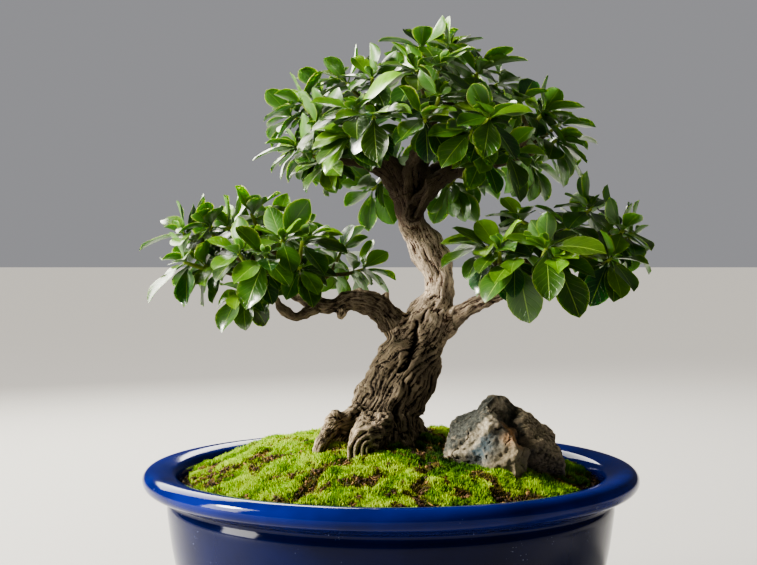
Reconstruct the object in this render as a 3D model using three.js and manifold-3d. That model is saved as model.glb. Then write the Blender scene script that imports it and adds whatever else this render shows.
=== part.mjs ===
// A small broad-leaved bonsai in a round glazed pot, with moss, a rock and a drain screen.
// Millimetres, +Z up, +X to the right, +Y away from the front. The origin is the middle of
// the pot's foot ring, on the surface that the pot stands on.

import * as THREE from 'three';
import { mergeVertices } from 'three/addons/utils/BufferGeometryUtils.js';
import { ConvexGeometry } from 'three/addons/geometries/ConvexGeometry.js';
import Module from 'manifold-3d';

// ---------------------------------------------------------------- driving dimensions

const POT_HEIGHT = 118;
const RIM_RADIUS = 150;
const MOUTH_RADIUS = 130.5;
const WALL_INSIDE_RADIUS = 128;
const FOOT_RADIUS = 100;
const FOOT_INSIDE_RADIUS = 90;
const FLOOR_HEIGHT = 12;
const FLOOR_UNDERSIDE = 4;
const FLOOR_RADIUS = FOOT_RADIUS - 8;
const DRAIN_RADIUS = 14;
const NOTCH = { length: 30, width: 30, height: 4, count: 3 };
const POT_SIDES = 32;
// The bowl's inner wall: its radius at the floor, how it swells to the mouth, and the heights
// that its profile has corners at.
const BOWL = { bottom: FOOT_RADIUS - 4, swell: 2.4, lean: 1.1, levels: [24, 64] };

const SCREEN = { size: 44, thickness: 1.2, bars: 4, bar: 3.4, clearance: 0.5 };

const SEAT_GAP = 0.3;
const SOIL_CROWN = 130;
const SOIL_DROP = 22;
const SOIL_RADIUS = WALL_INSIDE_RADIUS - SEAT_GAP;
const SOIL_WALL_GAP = 0.7;
const MOSS_THICKNESS = 5;
const MOSS_RADIUS = 124;
const MOSS_RELIEF = 1.3;
const MOSS_EDGE = { lift: 0.8, power: 6 };
const MOSS_WAVES = { x: 9, phaseX: 1.3, y: 11, phaseY: 0.4, cross: 7, crossPart: 0.7 };
const MOSS_UNDERSIDE = 95;
const CUT_MARGIN = 5;
const SEAM = { width: 2, steps: 5, bottom: 80, height: 80 };
const DOME_SIDES = 24;
const DOME_RINGS = 4;
const DOME_PARTS = [1, 0.72, 0.4, 0];

const TRUNK_SIDES = 16;
const TRUNK_STEPS = 18;
const LIMB_SIDES = 5;
const TWIG_SIDES = 3;
const SEARCH_STEPS = 40;
const WOOD_GAP = SEAT_GAP + 0.1;

// The trunk turns by this angle from its foot to its top, in radians, and its ridges turn
// with it: how many there are, how deep against the radius, and how far each set drifts.
const TRUNK_TURN = 4.2;
const RIDGES = [{ count: 3, depth: 0.075, drift: 0 }, { count: 5, depth: 0.06, drift: 9 }];
const BARK_AGE = { oldTo: 0.5, youngFrom: 0.72, youngDepth: 0.25 };

// Radii of the green wood from the seat of a spray to its buds, and where a twig forks.
const STUB = { start: 2.6, startPart: 0.9, seat: 2 };
const TWIG = { seat: 1.8, fork: 1.5, shoot: 1.4, middle: 1.3, bud: 1.1 };
const FORK = { straight: 3.5, part: 0.4, rise: 2, sag: 1 };

const LEAVES_PER_SHOOT = { bare: 3, given: 2 };
const LEAF = { width: 0.56, fold: 0.16, thickness: 1.3, petiole: 0.15, shortest: 20, longest: 31 };
const LEAF_SEED = 20517;
const OUTLINE = { stalk: 0.09, skew: 1.12, fullness: 0.72 };
const ARCH = { least: 0.14, lying: 0.22 };
const FACING = { up: 0.75, out: 0.65, inward: -0.8, upright: 0.75 };
// How a leaf grows from its shoot. Angles are in degrees, and an old leaf has an age of 1.
const GROWTH = {
  along: 0.8, outward: 0.5, up: 0.45, opening: 38, openingOld: 68, scatter: 14, droop: 0.28,
  youngLength: 0.25, rootBack: 0.6, rootBackOld: 3.4, givenRootBack: 0.8,
};
// How far leaves keep from wood and from each other, in millimetres, and the parts of a
// blade, from its root, where that is tested.
const CLEAR = {
  blade: 1.7, edge: 1.2, woodReach: 4, leafReach: 6, sameShoot: 8,
  pastTip: 1.04, nearTip: 0.96, fromSameShoot: 0.4, fromOtherLeaf: 0.08,
  fromOwnWood: 0.3, fromOtherWood: 0.05,
};

// ---------------------------------------------------------------- the wood
// Each limb is a list of places along it: x, y, z and the radius there.

const LIMBS = {
  trunk: [
    [-4, -6, 100, 24], [-4, -8, 126, 27], [-3.5, -8, 140, 24], [-2, -7, 152, 21.5],
    [3, -5, 164, 21], [9, -3, 176, 20.5], [14, -1, 185, 18.5], [17.5, 0, 193, 17],
    [22.5, 1, 203, 15.5], [27, 2, 211, 13.5], [30.5, 3, 219, 11], [31, 4, 228, 10],
    [30.5, 5, 236, 9.8], [27.5, 6, 243, 10], [22.5, 7, 251, 10], [17, 8, 259, 9.6],
    [13, 8, 268, 9.4], [11, 8, 277, 9],
  ],
  crown_left: [
    [12, 8, 268, 8], [9, 8, 277, 7.6], [4.5, 5, 290, 6.6], [-3, 1, 304, 5.4],
    [-14, -2, 314, 4.2], [-25, -1, 320, 3.2],
  ],
  crown_left_low: [
    [6, 7, 283, 5], [-5, 0, 296, 3.8], [-18, -6, 302, 3.2], [-32, -12, 304, 2.6],
  ],
  crown_middle: [
    [12, 8, 266, 8], [14, 9, 277, 7.4], [18, 13, 294, 5.8], [22, 14, 312, 4.8],
    [25, 10, 327, 3.9], [28, 6, 338, 3],
  ],
  crown_front: [
    [14, 8, 284, 5], [12, -4, 296, 4.2], [14, -22, 304, 3.5], [17, -38, 309, 2.8],
  ],
  crown_back_left: [
    [15, 10, 284, 5], [9, 24, 297, 4.2], [0, 40, 306, 3.4], [-5, 50, 312, 2.8],
  ],
  crown_back_right: [
    [18, 12, 290, 5], [30, 26, 301, 4.4], [44, 44, 311, 3.4], [56, 58, 318, 2.8],
  ],
  crown_right: [
    [12, 6, 262, 8], [13, 4, 272, 8], [20.5, 0, 284, 7.2], [31, -4, 294, 6.2],
    [44, -3, 299, 5.2], [60, 2, 302, 4.2], [73, 4, 306, 3.2],
  ],
  left: [
    [16, 0, 188, 12], [12, 0, 196, 11], [2, -2, 205, 9.5], [-6.5, -4, 214, 8.2],
    [-15.5, -6, 218, 7.4], [-25, -6, 219, 6.2], [-34, -4, 215.5, 5.2], [-44.5, -2, 216, 4.4],
    [-55.5, 0, 221, 3.9], [-65, 2, 228, 3.5], [-75.5, 4, 235, 3], [-84, 4, 238, 2.6],
  ],
  left_low: [
    [-42, -2, 215.5, 3.6], [-53, -6, 210.5, 3.2], [-60, -10, 209, 3], [-67, -12, 216, 2.6],
    [-71, -14, 222, 2.3],
  ],
  right: [
    [26, 0, 194, 8.5], [31, -1, 200, 7.6], [40.5, -4, 209, 6.6], [50, -10, 216, 5.8],
    [60, -16, 221, 5], [69.5, -22, 226, 4.4], [80, -26, 232, 4], [94, -28, 238, 3.5],
    [108, -30, 242, 3], [117, -31, 243.5, 2.6],
  ],
};

const ROOTS = [
  [
    [-8, -8, 160, 14], [-23, -19, 152, 9.5], [-32, -28, 148, 8], [-39, -34, 143, 6.8],
    [-44, -39, 136, 5.4], [-48, -42, 122, 4.4],
  ],
  [
    [-8, -18, 152, 11], [-13, -31, 145, 6.5], [-20, -41, 143, 4.6], [-24, -47, 138, 4],
    [-24, -49, 122, 3.6],
  ],
  [
    [-4, -18, 150, 9], [-8, -34, 143, 5.4], [-14, -46, 141.5, 4.2], [-17, -52, 138, 3.8],
    [-17, -54, 122, 3.4],
  ],
  [[4, -16, 148, 10], [9, -30, 138, 7.4], [18, -42, 130, 5.4], [26, -50, 114, 4]],
  [[13, -4, 150, 11], [25, 1, 139, 8], [37, 5, 131, 6], [48, 9, 114, 4]],
  [[0, 8, 150, 12], [6, 25, 138, 8], [10, 40, 130, 5.4], [12, 52, 114, 4]],
  [[-12, 6, 150, 11], [-27, 18, 138, 7.4], [-40, 28, 131, 5.6], [-50, 36, 114, 4]],
];

// Short dead stubs and knots on the bark: a start inside the wood and a blunt end.
const KNOTS = [
  [[-24, -18, 150, 5.5], [-33, -23, 155, 2.6]],
  [[-4, -4, 214, 4.5], [-2, -4, 224, 3.4]],
  [[-30, -5, 214, 4], [-30, -6, 207.5, 2.6]],
  [[33, 3, 196, 6], [40, 6, 193, 3.6]],
  [[26, 6, 246, 5], [34, 1, 247, 3]],
];

// ---------------------------------------------------------------- the leafy sprays
// Each spray stands on a seat at the end of a stub on its limb. Its shoots end in buds, and
// the leaves whose places are plain to see are given by the places of their tips.

const SPRAYS = [
  ['crown_front_left', 'crown_left', [-8, -22, 309], [
    [[-20, -62, 327], [[6, -62, 349], [-46, -64, 332], [-27, -70, 334], [-45, -64, 316]]],
    [[-10, -68, 324], [[11, -82, 324], [-8, -79, 297]]],
    [[-24, -58, 314], [[-41, -69, 297]]],
  ]],
  ['crown_left', 'crown_left', [-31, -4, 319], [
    [[-54, 0, 339], [[-78, -1, 328], [-68, 14, 347]]],
    [[-44, -30, 321], [[-52, -44, 306]]],
  ]],
  ['crown_left_low', 'crown_left_low', [-40, -15, 304], [
    [[-56, -20, 311], [[-82, -28, 302], [-66, -20, 291], [-72, -15, 296]]],
    [[-38, -34, 300], [[-49, -44, 284], [-37, -24, 281], [-32, -38, 282]]],
  ]],
  ['crown_left_back', 'crown_left', [-27, 10, 322], [
    [[-64, 34, 335], [[-79, 48, 329]]],
    [[-54, 44, 314], []],
    [[-43, 32, 350], []],
  ]],
  ['crown_upper_left', 'crown_left', [-11, 2, 326], [
    [[-27, 4, 352], [[-21, 5, 376], [-45, 13, 360], [-45, -7, 348]]],
    [[-11, -20, 352], [[-24, -34, 342]]],
  ]],
  ['crown_top', 'crown_middle', [28, 3, 350], [
    [[18, 0, 373], [[32, 2, 393], [-8, 0, 377]]],
    [[37, 6, 373], [[50, 17, 383], [24, 20, 380]]],
  ]],
  ['crown_top_right', 'crown_middle', [39, 4, 338], [
    [[53, -2, 358], [[73, -16, 371], [84, -2, 365], [33, -16, 373]]],
    [[69, 20, 354], [[88, 34, 356]]],
  ]],
  ['crown_front_centre', 'crown_middle', [21, -6, 331], [
    [[15, -30, 355], [[-3, -42, 348], [9, -42, 341], [26, -46, 361]]],
    [[29, -34, 357], [[22, -46, 349], [38, -49, 360]]],
  ]],
  ['crown_front_middle', 'crown_front', [19, -50, 312], [
    [[18, -74, 322], [[5, -90, 309], [26, -94, 326]]],
    [[27, -62, 336], [[19, -80, 333]]],
  ]],
  ['crown_front_right', 'crown_right', [42, -22, 306], [
    [[54, -80, 322], [[49, -96, 298], [35, -92, 316], [34, -64, 330], [44, -90, 326], [67, -96, 328]]],
    [[44, -76, 315], [[27, -84, 294]]],
  ]],
  ['crown_right_front', 'crown_right', [58, -16, 302], [
    [[66, -56, 304], [[72, -68, 283], [66, -40, 282], [79, -74, 317]]],
    [[52, -50, 303], [[44, -60, 284]]],
  ]],
  ['crown_right', 'crown_right', [80, -4, 314], [
    [[92, -14, 332], [[95, -10, 355], [83, -4, 349], [114, -32, 333], [93, -31, 322]]],
    [[75, -28, 336], [[66, -46, 340]]],
  ]],
  ['crown_far_right', 'crown_right', [83, 8, 308], [
    [[102, 2, 317], [[128, 7, 315], [119, -9, 302], [116, -8, 291], [110, 14, 294]]],
  ]],
  ['crown_right_back', 'crown_right', [68, 18, 307], [
    [[93, 40, 304], [[101, 50, 281]]],
    [[110, 40, 331], []],
  ]],
  ['crown_back_left', 'crown_back_left', [-8, 58, 315], [
    [[-28, 76, 333], []],
    [[-9, 74, 352], []],
    [[-40, 66, 316], []],
  ]],
  ['crown_back_low', 'crown_back_left', [0, 52, 301], [
    [[-12, 62, 289], [[-14, 66, 262], [-30, 73, 279]]],
    [[6, 82, 311], []],
  ]],
  ['crown_back_right', 'crown_back_right', [62, 65, 321], [
    [[83, 80, 336], []],
    [[61, 84, 349], []],
    [[90, 70, 316], []],
  ]],
  ['crown_back_right_low', 'crown_back_right', [42, 53, 304], [
    [[38, 60, 291], [[58, 60, 268], [43, 54, 271], [29, 61, 267]]],
    [[58, 76, 298], [[74, 87, 284]]],
  ]],
  ['crown_back_top', 'crown_middle', [25, 22, 338], [
    [[14, 48, 364], []],
    [[38, 58, 361], []],
    [[28, 36, 376], []],
  ]],
  ['left_tip', 'left', [-92, 3, 243], [
    [[-126, -8, 259], [[-115, 2, 284], [-152, -13, 249]]],
    [[-111, -4, 264], [[-127, -21, 259], [-114, 7, 275]]],
  ]],
  ['left_tip_low', 'left', [-87, -5, 234], [
    [[-112, -18, 240], [[-134, -34, 239], [-123, -26, 215], [-113, -14, 215]]],
    [[-123, -26, 242], [[-142, -38, 218]]],
  ]],
  ['left_front', 'left_low', [-74, -20, 229], [
    [[-72, -48, 245], [[-83, -58, 215]]],
    [[-89, -40, 247], [[-101, -52, 231], [-96, -58, 251]]],
    [[-89, -30, 224], [[-99, -40, 201], [-75, -18, 204]]],
  ]],
  ['left_centre', 'left', [-55, -10, 226], [
    [[-64, -40, 255], [[-94, -44, 246], [-57, -56, 236], [-48, -32, 279], [-52, -47, 267]]],
    [[-52, -38, 254], [[-25, -44, 247]]],
    [[-53, -42, 239], [[-45, -53, 216]]],
  ]],
  ['left_upper', 'left', [-67, 1, 239], [
    [[-86, 6, 272], [[-82, -8, 283], [-68, 12, 285]]],
    [[-101, 4, 264], [[-107, -11, 272], [-103, 19, 277]]],
  ]],
  ['left_tip_back', 'left', [-86, 12, 243], [
    [[-115, 26, 252], []],
    [[-102, 40, 257], []],
  ]],
  ['left_right_back', 'left', [-50, 9, 226], [
    [[-32, 44, 248], [[-16, 50, 265], [-20, 30, 241]]],
    [[-17, 38, 237], [[4, 42, 230], [-12, 30, 227]]],
  ]],
  ['left_back', 'left', [-71, 14, 236], [
    [[-88, 54, 259], []],
    [[-64, 50, 260], []],
    [[-73, 30, 267], []],
  ]],
  ['right_front_left', 'right', [66, -29, 229], [
    [[54, -56, 251], [[28, -47, 253], [28, -65, 239], [42, -67, 232]]],
    [[61, -64, 249], [[48, -76, 236]]],
    [[70, -72, 244], [[51, -84, 220], [77, -74, 208]]],
  ]],
  ['right_front', 'right', [81, -36, 233], [
    [[85, -82, 250], [[85, -96, 221], [115, -100, 247], [73, -90, 255]]],
    [[90, -80, 244], [[102, -96, 212]]],
  ]],
  ['right_upper', 'right', [95, -30, 248], [
    [[116, -44, 273], [[99, -54, 281], [95, -36, 274]]],
    [[104, -50, 263], [[91, -63, 259]]],
    [[75, -34, 267], [[81, -48, 274], [63, -49, 262]]],
  ]],
  ['right_tip', 'right', [123, -31, 250], [
    [[132, -56, 260], [[125, -44, 287], [138, -72, 269]]],
    [[141, -38, 257], []],
  ]],
  ['right_tip_low', 'right', [117, -41, 240], [
    [[123, -68, 244], [[123, -78, 220], [133, -84, 226], [119, -60, 222]]],
  ]],
  ['right_back', 'right', [109, -20, 246], [
    [[133, 14, 258], []],
    [[118, 20, 267], []],
  ]],
  ['right_back_left', 'right', [84, -16, 238], [
    [[81, 18, 257], []],
    [[62, -6, 255], [[47, -18, 249]]],
  ]],
];

// ---------------------------------------------------------------- the rock
// Two blocky halves, each the hull of the corners that show and of a flat hidden base.

const ROCK_BASE = 116;
const ROCK_CORNERS = [
  [
    [31, -44, 131], [34, -40, 147], [37, -37, 150], [46, -35, 154], [50, -36, 158],
    [56, -36, 162], [63, -32, 162], [69, -28, 161], [38, -56, 144], [51, -60, 150],
    [61, -49, 159], [65, -60, 148], [71, -64, 142], [80, -60, 133], [75, -64, 124],
    [32, -52, 130], [55, -68, 129], [71, -69, 122], [40, -20, 141], [60, -12, 149],
    [33, -52, ROCK_BASE], [56, -67, ROCK_BASE], [71, -68, ROCK_BASE], [77, -58, ROCK_BASE],
    [36, -24, ROCK_BASE], [62, -11, ROCK_BASE],
  ],
  [
    [66, -26, 160], [74, -30, 157], [82, -32, 153], [85, -36, 148], [89, -34, 147],
    [95, -32, 142], [98, -40, 134], [102, -34, 131], [103, -36, 126], [99, -48, 129],
    [78, -46, 146], [92, -15, 138], [76, -10, 147], [64, -14, 150],
    [80, -50, ROCK_BASE], [100, -45, ROCK_BASE], [99, -20, ROCK_BASE], [70, -9, ROCK_BASE],
  ],
];

// Lines along which the moss has been pressed together from separate pieces, in plan.
const MOSS_SEAMS = [
  [[-135, -30], [-96, -44], [-62, -38], [-30, -46], [0, -10]],
  [[-70, -120], [-44, -92], [-34, -70], [-10, -52], [0, -10]],
  [[28, -135], [12, -98], [22, -70], [8, -40], [0, -10]],
  [[135, -62], [104, -60], [70, -40], [40, -34], [0, -10]],
  [[135, 40], [92, 34], [60, 16], [34, 14], [0, -6]],
  [[46, 130], [40, 92], [22, 58], [14, 24], [0, -6]],
  [[-62, 125], [-48, 84], [-40, 56], [-18, 30], [0, -6]],
];

// ---------------------------------------------------------------- solids and booleans

const wasm = await Module();
wasm.setup();

function solidFrom(geometry) {
  const bare = geometry.index ? geometry.clone() : mergeVertices(geometry.clone());
  bare.deleteAttribute('normal');
  bare.deleteAttribute('uv');
  const merged = mergeVertices(bare, 1e-4);
  return new wasm.Manifold(new wasm.Mesh({
    numProp: 3,
    vertProperties: new Float32Array(merged.attributes.position.array),
    triVerts: new Uint32Array(merged.index.array),
  }));
}

function geometryFrom(solid) {
  const mesh = solid.getMesh();
  const geometry = new THREE.BufferGeometry();
  geometry.setAttribute('position', new THREE.BufferAttribute(mesh.vertProperties, 3));
  geometry.setIndex(new THREE.BufferAttribute(mesh.triVerts, 1));
  geometry.computeVertexNormals();
  return geometry;
}

// The largest body of a solid, without the loose scraps that cutting leaves.
function largestBody(solid) {
  const bodies = solid.decompose().sort((a, b) => b.volume() - a.volume());
  return bodies[0];
}

// Moves every vertex of a geometry to the place that a function gives for it.
function reshape(geometry, place) {
  const positions = geometry.attributes.position;
  const vertex = new THREE.Vector3();
  for (let i = 0; i < positions.count; i += 1) {
    const moved = place(vertex.fromBufferAttribute(positions, i));
    positions.setXYZ(i, moved.x, moved.y, moved.z);
  }
  return geometry;
}

function turned(profile, sides) {
  const outline = profile.map(([radius, height]) => new THREE.Vector2(radius, height));
  return solidFrom(new THREE.LatheGeometry(outline, sides).rotateX(Math.PI / 2));
}

function vector([x, y, z]) {
  return new THREE.Vector3(x, y, z);
}

// Seeded random numbers from 0 to 1.
function randomFrom(seed) {
  let state = seed;
  return () => {
    state = (Math.imul(state, 1664525) + 1013904223) >>> 0;
    return state / 4294967296;
  };
}

// ---------------------------------------------------------------- limbs

// Places along a limb, each with a frame that turns as little as it can.
function stationsAlong(places, steps) {
  const curve = new THREE.CatmullRomCurve3(places.map(vector), false, 'catmullrom', 0.5);
  const stations = [];
  for (let i = 0; i <= steps; i += 1) {
    const t = i / steps;
    const along = Math.min(t * (places.length - 1), places.length - 1.000001);
    const before = Math.floor(along);
    const radius = THREE.MathUtils.lerp(places[before][3], places[before + 1][3], along - before);
    stations.push({ centre: curve.getPoint(t), tangent: curve.getTangent(t), radius });
  }
  let normal = new THREE.Vector3(0, -1, 0);
  if (Math.abs(stations[0].tangent.y) > 0.9) normal = new THREE.Vector3(1, 0, 0);
  for (const station of stations) {
    const lean = normal.dot(station.tangent);
    normal = normal.clone().addScaledVector(station.tangent, -lean).normalize();
    station.normal = normal;
    station.binormal = new THREE.Vector3().crossVectors(normal, station.tangent);
  }
  return stations;
}

function plainBark() {
  return 1;
}

// Strong ridges that flow up the old trunk and twist round it, and fade where it is young.
function twistedBark(angle, t) {
  const age = 1 - THREE.MathUtils.smoothstep(t, BARK_AGE.oldTo, BARK_AGE.youngFrom);
  const twist = angle + TRUNK_TURN * t;
  const fold = ({ count, depth, drift }) => depth * Math.cos(count * twist + drift * t);
  const folds = RIDGES.reduce((sum, ridges) => sum + fold(ridges), 0);
  return 1 + folds * THREE.MathUtils.lerp(BARK_AGE.youngDepth, 1, age);
}

// A round tapered limb with closed ends, as a solid. The growth is added to its radius.
function limb(places, sides, steps, growth = 0, bark = plainBark) {
  const stations = stationsAlong(places, steps);
  const tube = new THREE.CylinderGeometry(1, 1, 1, sides, steps);
  return solidFrom(reshape(tube, (vertex) => {
    const t = vertex.y + 0.5;
    const { centre, normal, binormal, radius } = stations[Math.round(t * steps)];
    const angle = Math.atan2(vertex.z, vertex.x);
    const reach = (radius * bark(angle, t) + growth) * Math.hypot(vertex.x, vertex.z);
    return centre.clone()
      .addScaledVector(normal, reach * Math.cos(angle))
      .addScaledVector(binormal, reach * Math.sin(angle));
  }));
}

function nearestOnLimb(places, point) {
  let nearest = null;
  for (const station of stationsAlong(places, SEARCH_STEPS)) {
    const distance = station.centre.distanceTo(point);
    if (!nearest || distance < nearest.distance) nearest = { ...station, distance };
  }
  return nearest;
}

// The stub that a spray stands on, as two places: inside its limb and at the seat.
function stubPlaces([, limbName, seat]) {
  const start = nearestOnLimb(LIMBS[limbName], vector(seat));
  const radius = Math.min(start.radius * STUB.startPart, STUB.start);
  return [[...start.centre.toArray(), radius], [...seat, STUB.seat]];
}

// ---------------------------------------------------------------- the plan of each spray

function sprayPlan(spray) {
  const [name, , seat, shoots] = spray;
  const [stubStart] = stubPlaces(spray);
  const base = vector(seat);
  const heading = base.clone().sub(vector(stubStart)).normalize();
  const middle = new THREE.Vector3();
  shoots.forEach(([bud]) => middle.addScaledVector(vector(bud), 1 / shoots.length));
  const fork = base.clone().lerp(middle, FORK.part).addScaledVector(heading, FORK.rise);
  const twig = [
    [...base.clone().addScaledVector(heading, SEAT_GAP).toArray(), TWIG.seat],
    [...base.clone().addScaledVector(heading, FORK.straight).toArray(), TWIG.seat],
    [...fork.toArray(), TWIG.fork],
  ];
  const buds = shoots.map(([bud, tips]) => {
    const end = vector(bud);
    const direction = end.clone().sub(fork).normalize();
    const halfway = fork.clone().lerp(end, 0.5);
    halfway.z -= FORK.sag;
    const shoot = [
      [...fork.toArray(), TWIG.shoot],
      [...halfway.toArray(), TWIG.middle],
      [...bud, TWIG.bud],
    ];
    return { spray: name, end, direction, shoot, tips: tips.map(vector) };
  });
  return { name, twig, buds };
}

// Round spots of wood along a limb, which leaves keep clear of.
function spotsAlong(places, spray, spacing = 2.5) {
  let length = 0;
  for (let i = 1; i < places.length; i += 1) {
    length += vector(places[i]).distanceTo(vector(places[i - 1]));
  }
  const steps = Math.max(2, Math.ceil(length / spacing));
  return stationsAlong(places, steps).map(({ centre, radius }) => ({ centre, radius, spray }));
}

// ---------------------------------------------------------------- leaves

// How wide the blade is at s, from 0 at the petiole's root to 1 at the tip, against its widest.
function bladeOutline(s) {
  if (s <= LEAF.petiole) return OUTLINE.stalk;
  const q = Math.min((s - LEAF.petiole) / (1 - LEAF.petiole), 1);
  return Math.max(Math.sin(Math.PI * q ** OUTLINE.skew), 0) ** OUTLINE.fullness;
}

// A leaf from its root to its tip. Its upper face is turned up and out of the crown, or in
// towards the shoot where the leaf stands upright, and it arches down to its tip.
function leafBetween(root, tip, outward) {
  const chord = tip.clone().sub(root);
  const length = chord.length();
  chord.divideScalar(length);
  const turnedOut = chord.z > FACING.upright ? FACING.inward : FACING.out;
  const facing = new THREE.Vector3(0, 0, FACING.up).addScaledVector(outward, turnedOut);
  facing.addScaledVector(chord, -facing.dot(chord)).normalize();
  const arch = ARCH.least + ARCH.lying * (1 - Math.abs(chord.z));
  const stretch = Math.hypot(1, arch);
  const along = chord.clone().addScaledVector(facing, arch).divideScalar(stretch);
  const face = facing.clone().addScaledVector(chord, -arch).divideScalar(stretch);
  return {
    root,
    along,
    face,
    side: new THREE.Vector3().crossVectors(face, along),
    reach: length / stretch,
    half: (length * LEAF.width) / 2,
    arch,
  };
}

function pointOnLeaf(leaf, s, across, lift = 0) {
  const width = leaf.half * bladeOutline(s) * across;
  const height = -leaf.arch * leaf.reach * s * s + LEAF.fold * Math.abs(width) + lift;
  return leaf.root.clone()
    .addScaledVector(leaf.along, leaf.reach * s)
    .addScaledVector(leaf.side, width)
    .addScaledVector(leaf.face, height);
}

// Whether a round spot comes too near to a leaf's blade, past the stretch s from its root.
function nearBlade(leaf, spot, radius, from) {
  const offset = spot.clone().sub(leaf.root);
  const s = offset.dot(leaf.along) / leaf.reach;
  if (s < from || s > CLEAR.pastTip) return false;
  const across = Math.abs(offset.dot(leaf.side));
  const edge = leaf.half * bladeOutline(Math.min(s, CLEAR.nearTip));
  if (across > edge + radius + CLEAR.edge) return false;
  const height = offset.dot(leaf.face) + leaf.arch * leaf.reach * s * s - LEAF.fold * across;
  return Math.abs(height) < radius + CLEAR.blade;
}

const EDGE_STATIONS = [0.22, 0.34, 0.46, 0.58, 0.7, 0.82, 0.92, 1];

function edgeSpots(leaf) {
  return EDGE_STATIONS.flatMap((s) => [-1, 0, 1].map((across) => pointOnLeaf(leaf, s, across)));
}

function leavesCross(a, b) {
  const apart = a.root.distanceTo(b.root);
  if (apart > a.reach + b.reach + CLEAR.leafReach) return false;
  const from = apart < CLEAR.sameShoot ? CLEAR.fromSameShoot : CLEAR.fromOtherLeaf;
  return a.spots.some((spot) => nearBlade(b, spot, 0, from))
    || b.spots.some((spot) => nearBlade(a, spot, 0, from));
}

function isClear(leaf, leaves, wood) {
  const hitsWood = wood.some(({ centre, radius, spray }) => {
    const from = spray === leaf.spray ? CLEAR.fromOwnWood : CLEAR.fromOtherWood;
    return centre.distanceTo(leaf.root) < leaf.reach + radius + CLEAR.woodReach
      && nearBlade(leaf, centre, radius, from);
  });
  return !hitsWood && !leaves.some((other) => leavesCross(leaf, other));
}

const PAD_CENTRES = {
  crown: new THREE.Vector3(20, 2, 300),
  left: new THREE.Vector3(-72, 0, 225),
  right: new THREE.Vector3(92, -30, 225),
};

function outwardAt(bud) {
  const centre = PAD_CENTRES[bud.spray.split('_')[0]];
  return bud.end.clone().sub(centre).normalize();
}

// The leaf that a bud's rule gives for one turn round its shoot: the oldest leaves hang
// outside and below, and the youngest stand up round the shoot's end.
function leafByRule(bud, turn, age, random) {
  const outward = outwardAt(bud);
  const axis = bud.direction.clone().multiplyScalar(GROWTH.along)
    .addScaledVector(outward, GROWTH.outward);
  axis.z += GROWTH.up;
  axis.normalize();
  const first = new THREE.Vector3(axis.z, 0, -axis.x).normalize();
  const second = new THREE.Vector3().crossVectors(axis, first);
  const scatter = GROWTH.scatter * (random() - 0.5);
  const opening = THREE.MathUtils.degToRad(GROWTH.opening + GROWTH.openingOld * age + scatter);
  const direction = axis.clone().multiplyScalar(Math.cos(opening))
    .addScaledVector(first, Math.sin(opening) * Math.cos(turn))
    .addScaledVector(second, Math.sin(opening) * Math.sin(turn));
  direction.z -= GROWTH.droop * age;
  direction.normalize();
  const grown = THREE.MathUtils.lerp(GROWTH.youngLength, 1, age) * Math.sqrt(random());
  const length = THREE.MathUtils.lerp(LEAF.shortest, LEAF.longest, grown);
  const back = GROWTH.rootBack + GROWTH.rootBackOld * age;
  const root = bud.end.clone().addScaledVector(bud.direction, -back);
  return leafBetween(root, root.clone().addScaledVector(direction, length), outward);
}

const TIP_SHIFTS = [0, -4, 4, -8, 8, -12, 12];
const GOLDEN_ANGLE = THREE.MathUtils.degToRad(137.508);
const TRIES = 5;

// First the leaves with given tips, then by turns one leaf more on each shoot that has fewer
// than its share, each only where it keeps clear of the wood and of every other leaf.
function growLeaves(plans, wood) {
  const leaves = [];
  const keep = (leaf, bud) => {
    leaf.spray = bud.spray;
    leaf.spots = edgeSpots(leaf);
    if (!isClear(leaf, leaves, wood)) return false;
    leaves.push(leaf);
    bud.count += 1;
    return true;
  };
  const buds = plans.flatMap((plan) => plan.buds);
  for (const bud of buds) {
    bud.count = 0;
    for (const tip of bud.tips) {
      const root = bud.end.clone().addScaledVector(bud.direction, -GROWTH.givenRootBack);
      TIP_SHIFTS.some((shift) => {
        const moved = tip.clone().add(new THREE.Vector3(0, shift, 0));
        return keep(leafBetween(root, moved, outwardAt(bud)), bud);
      });
    }
  }
  const random = randomFrom(LEAF_SEED);
  buds.forEach((bud) => { bud.turn = random() * Math.PI * 2; });
  for (let round = 0; round < LEAVES_PER_SHOOT.bare; round += 1) {
    const age = 1 - round / LEAVES_PER_SHOOT.bare;
    for (const bud of buds) {
      const most = bud.tips.length > 0 ? LEAVES_PER_SHOOT.given : LEAVES_PER_SHOOT.bare;
      const share = Math.min(round + 1, most);
      for (let attempt = 0; attempt < TRIES && bud.count < share; attempt += 1) {
        bud.turn += GOLDEN_ANGLE;
        keep(leafByRule(bud, bud.turn, age, random), bud);
      }
    }
  }
  return leaves;
}

// Where a blade's rings of corners lie: a pole at the root, three rings and a pole at the tip.
// A ring has a corner on each edge of the blade and one below, under the midrib.
const BLADE_RINGS = [0, 0.18, 0.5, 0.85, 1];

function bladeSolid(leaf) {
  const last = BLADE_RINGS.length - 1;
  return solidFrom(reshape(new THREE.SphereGeometry(1, 3, last, Math.PI / 6), (vertex) => {
    const ring = Math.round((Math.acos(THREE.MathUtils.clamp(vertex.y, -1, 1)) / Math.PI) * last);
    const s = BLADE_RINGS[ring];
    if (ring === 0 || ring === last) return pointOnLeaf(leaf, s, 0);
    const reach = Math.hypot(vertex.x, vertex.z);
    if (vertex.z < -0.9 * reach) return pointOnLeaf(leaf, s, 0, -LEAF.thickness / 2);
    return pointOnLeaf(leaf, s, Math.sign(vertex.x), LEAF.thickness / 8);
  }));
}

// ---------------------------------------------------------------- the plan of the whole tree

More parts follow.
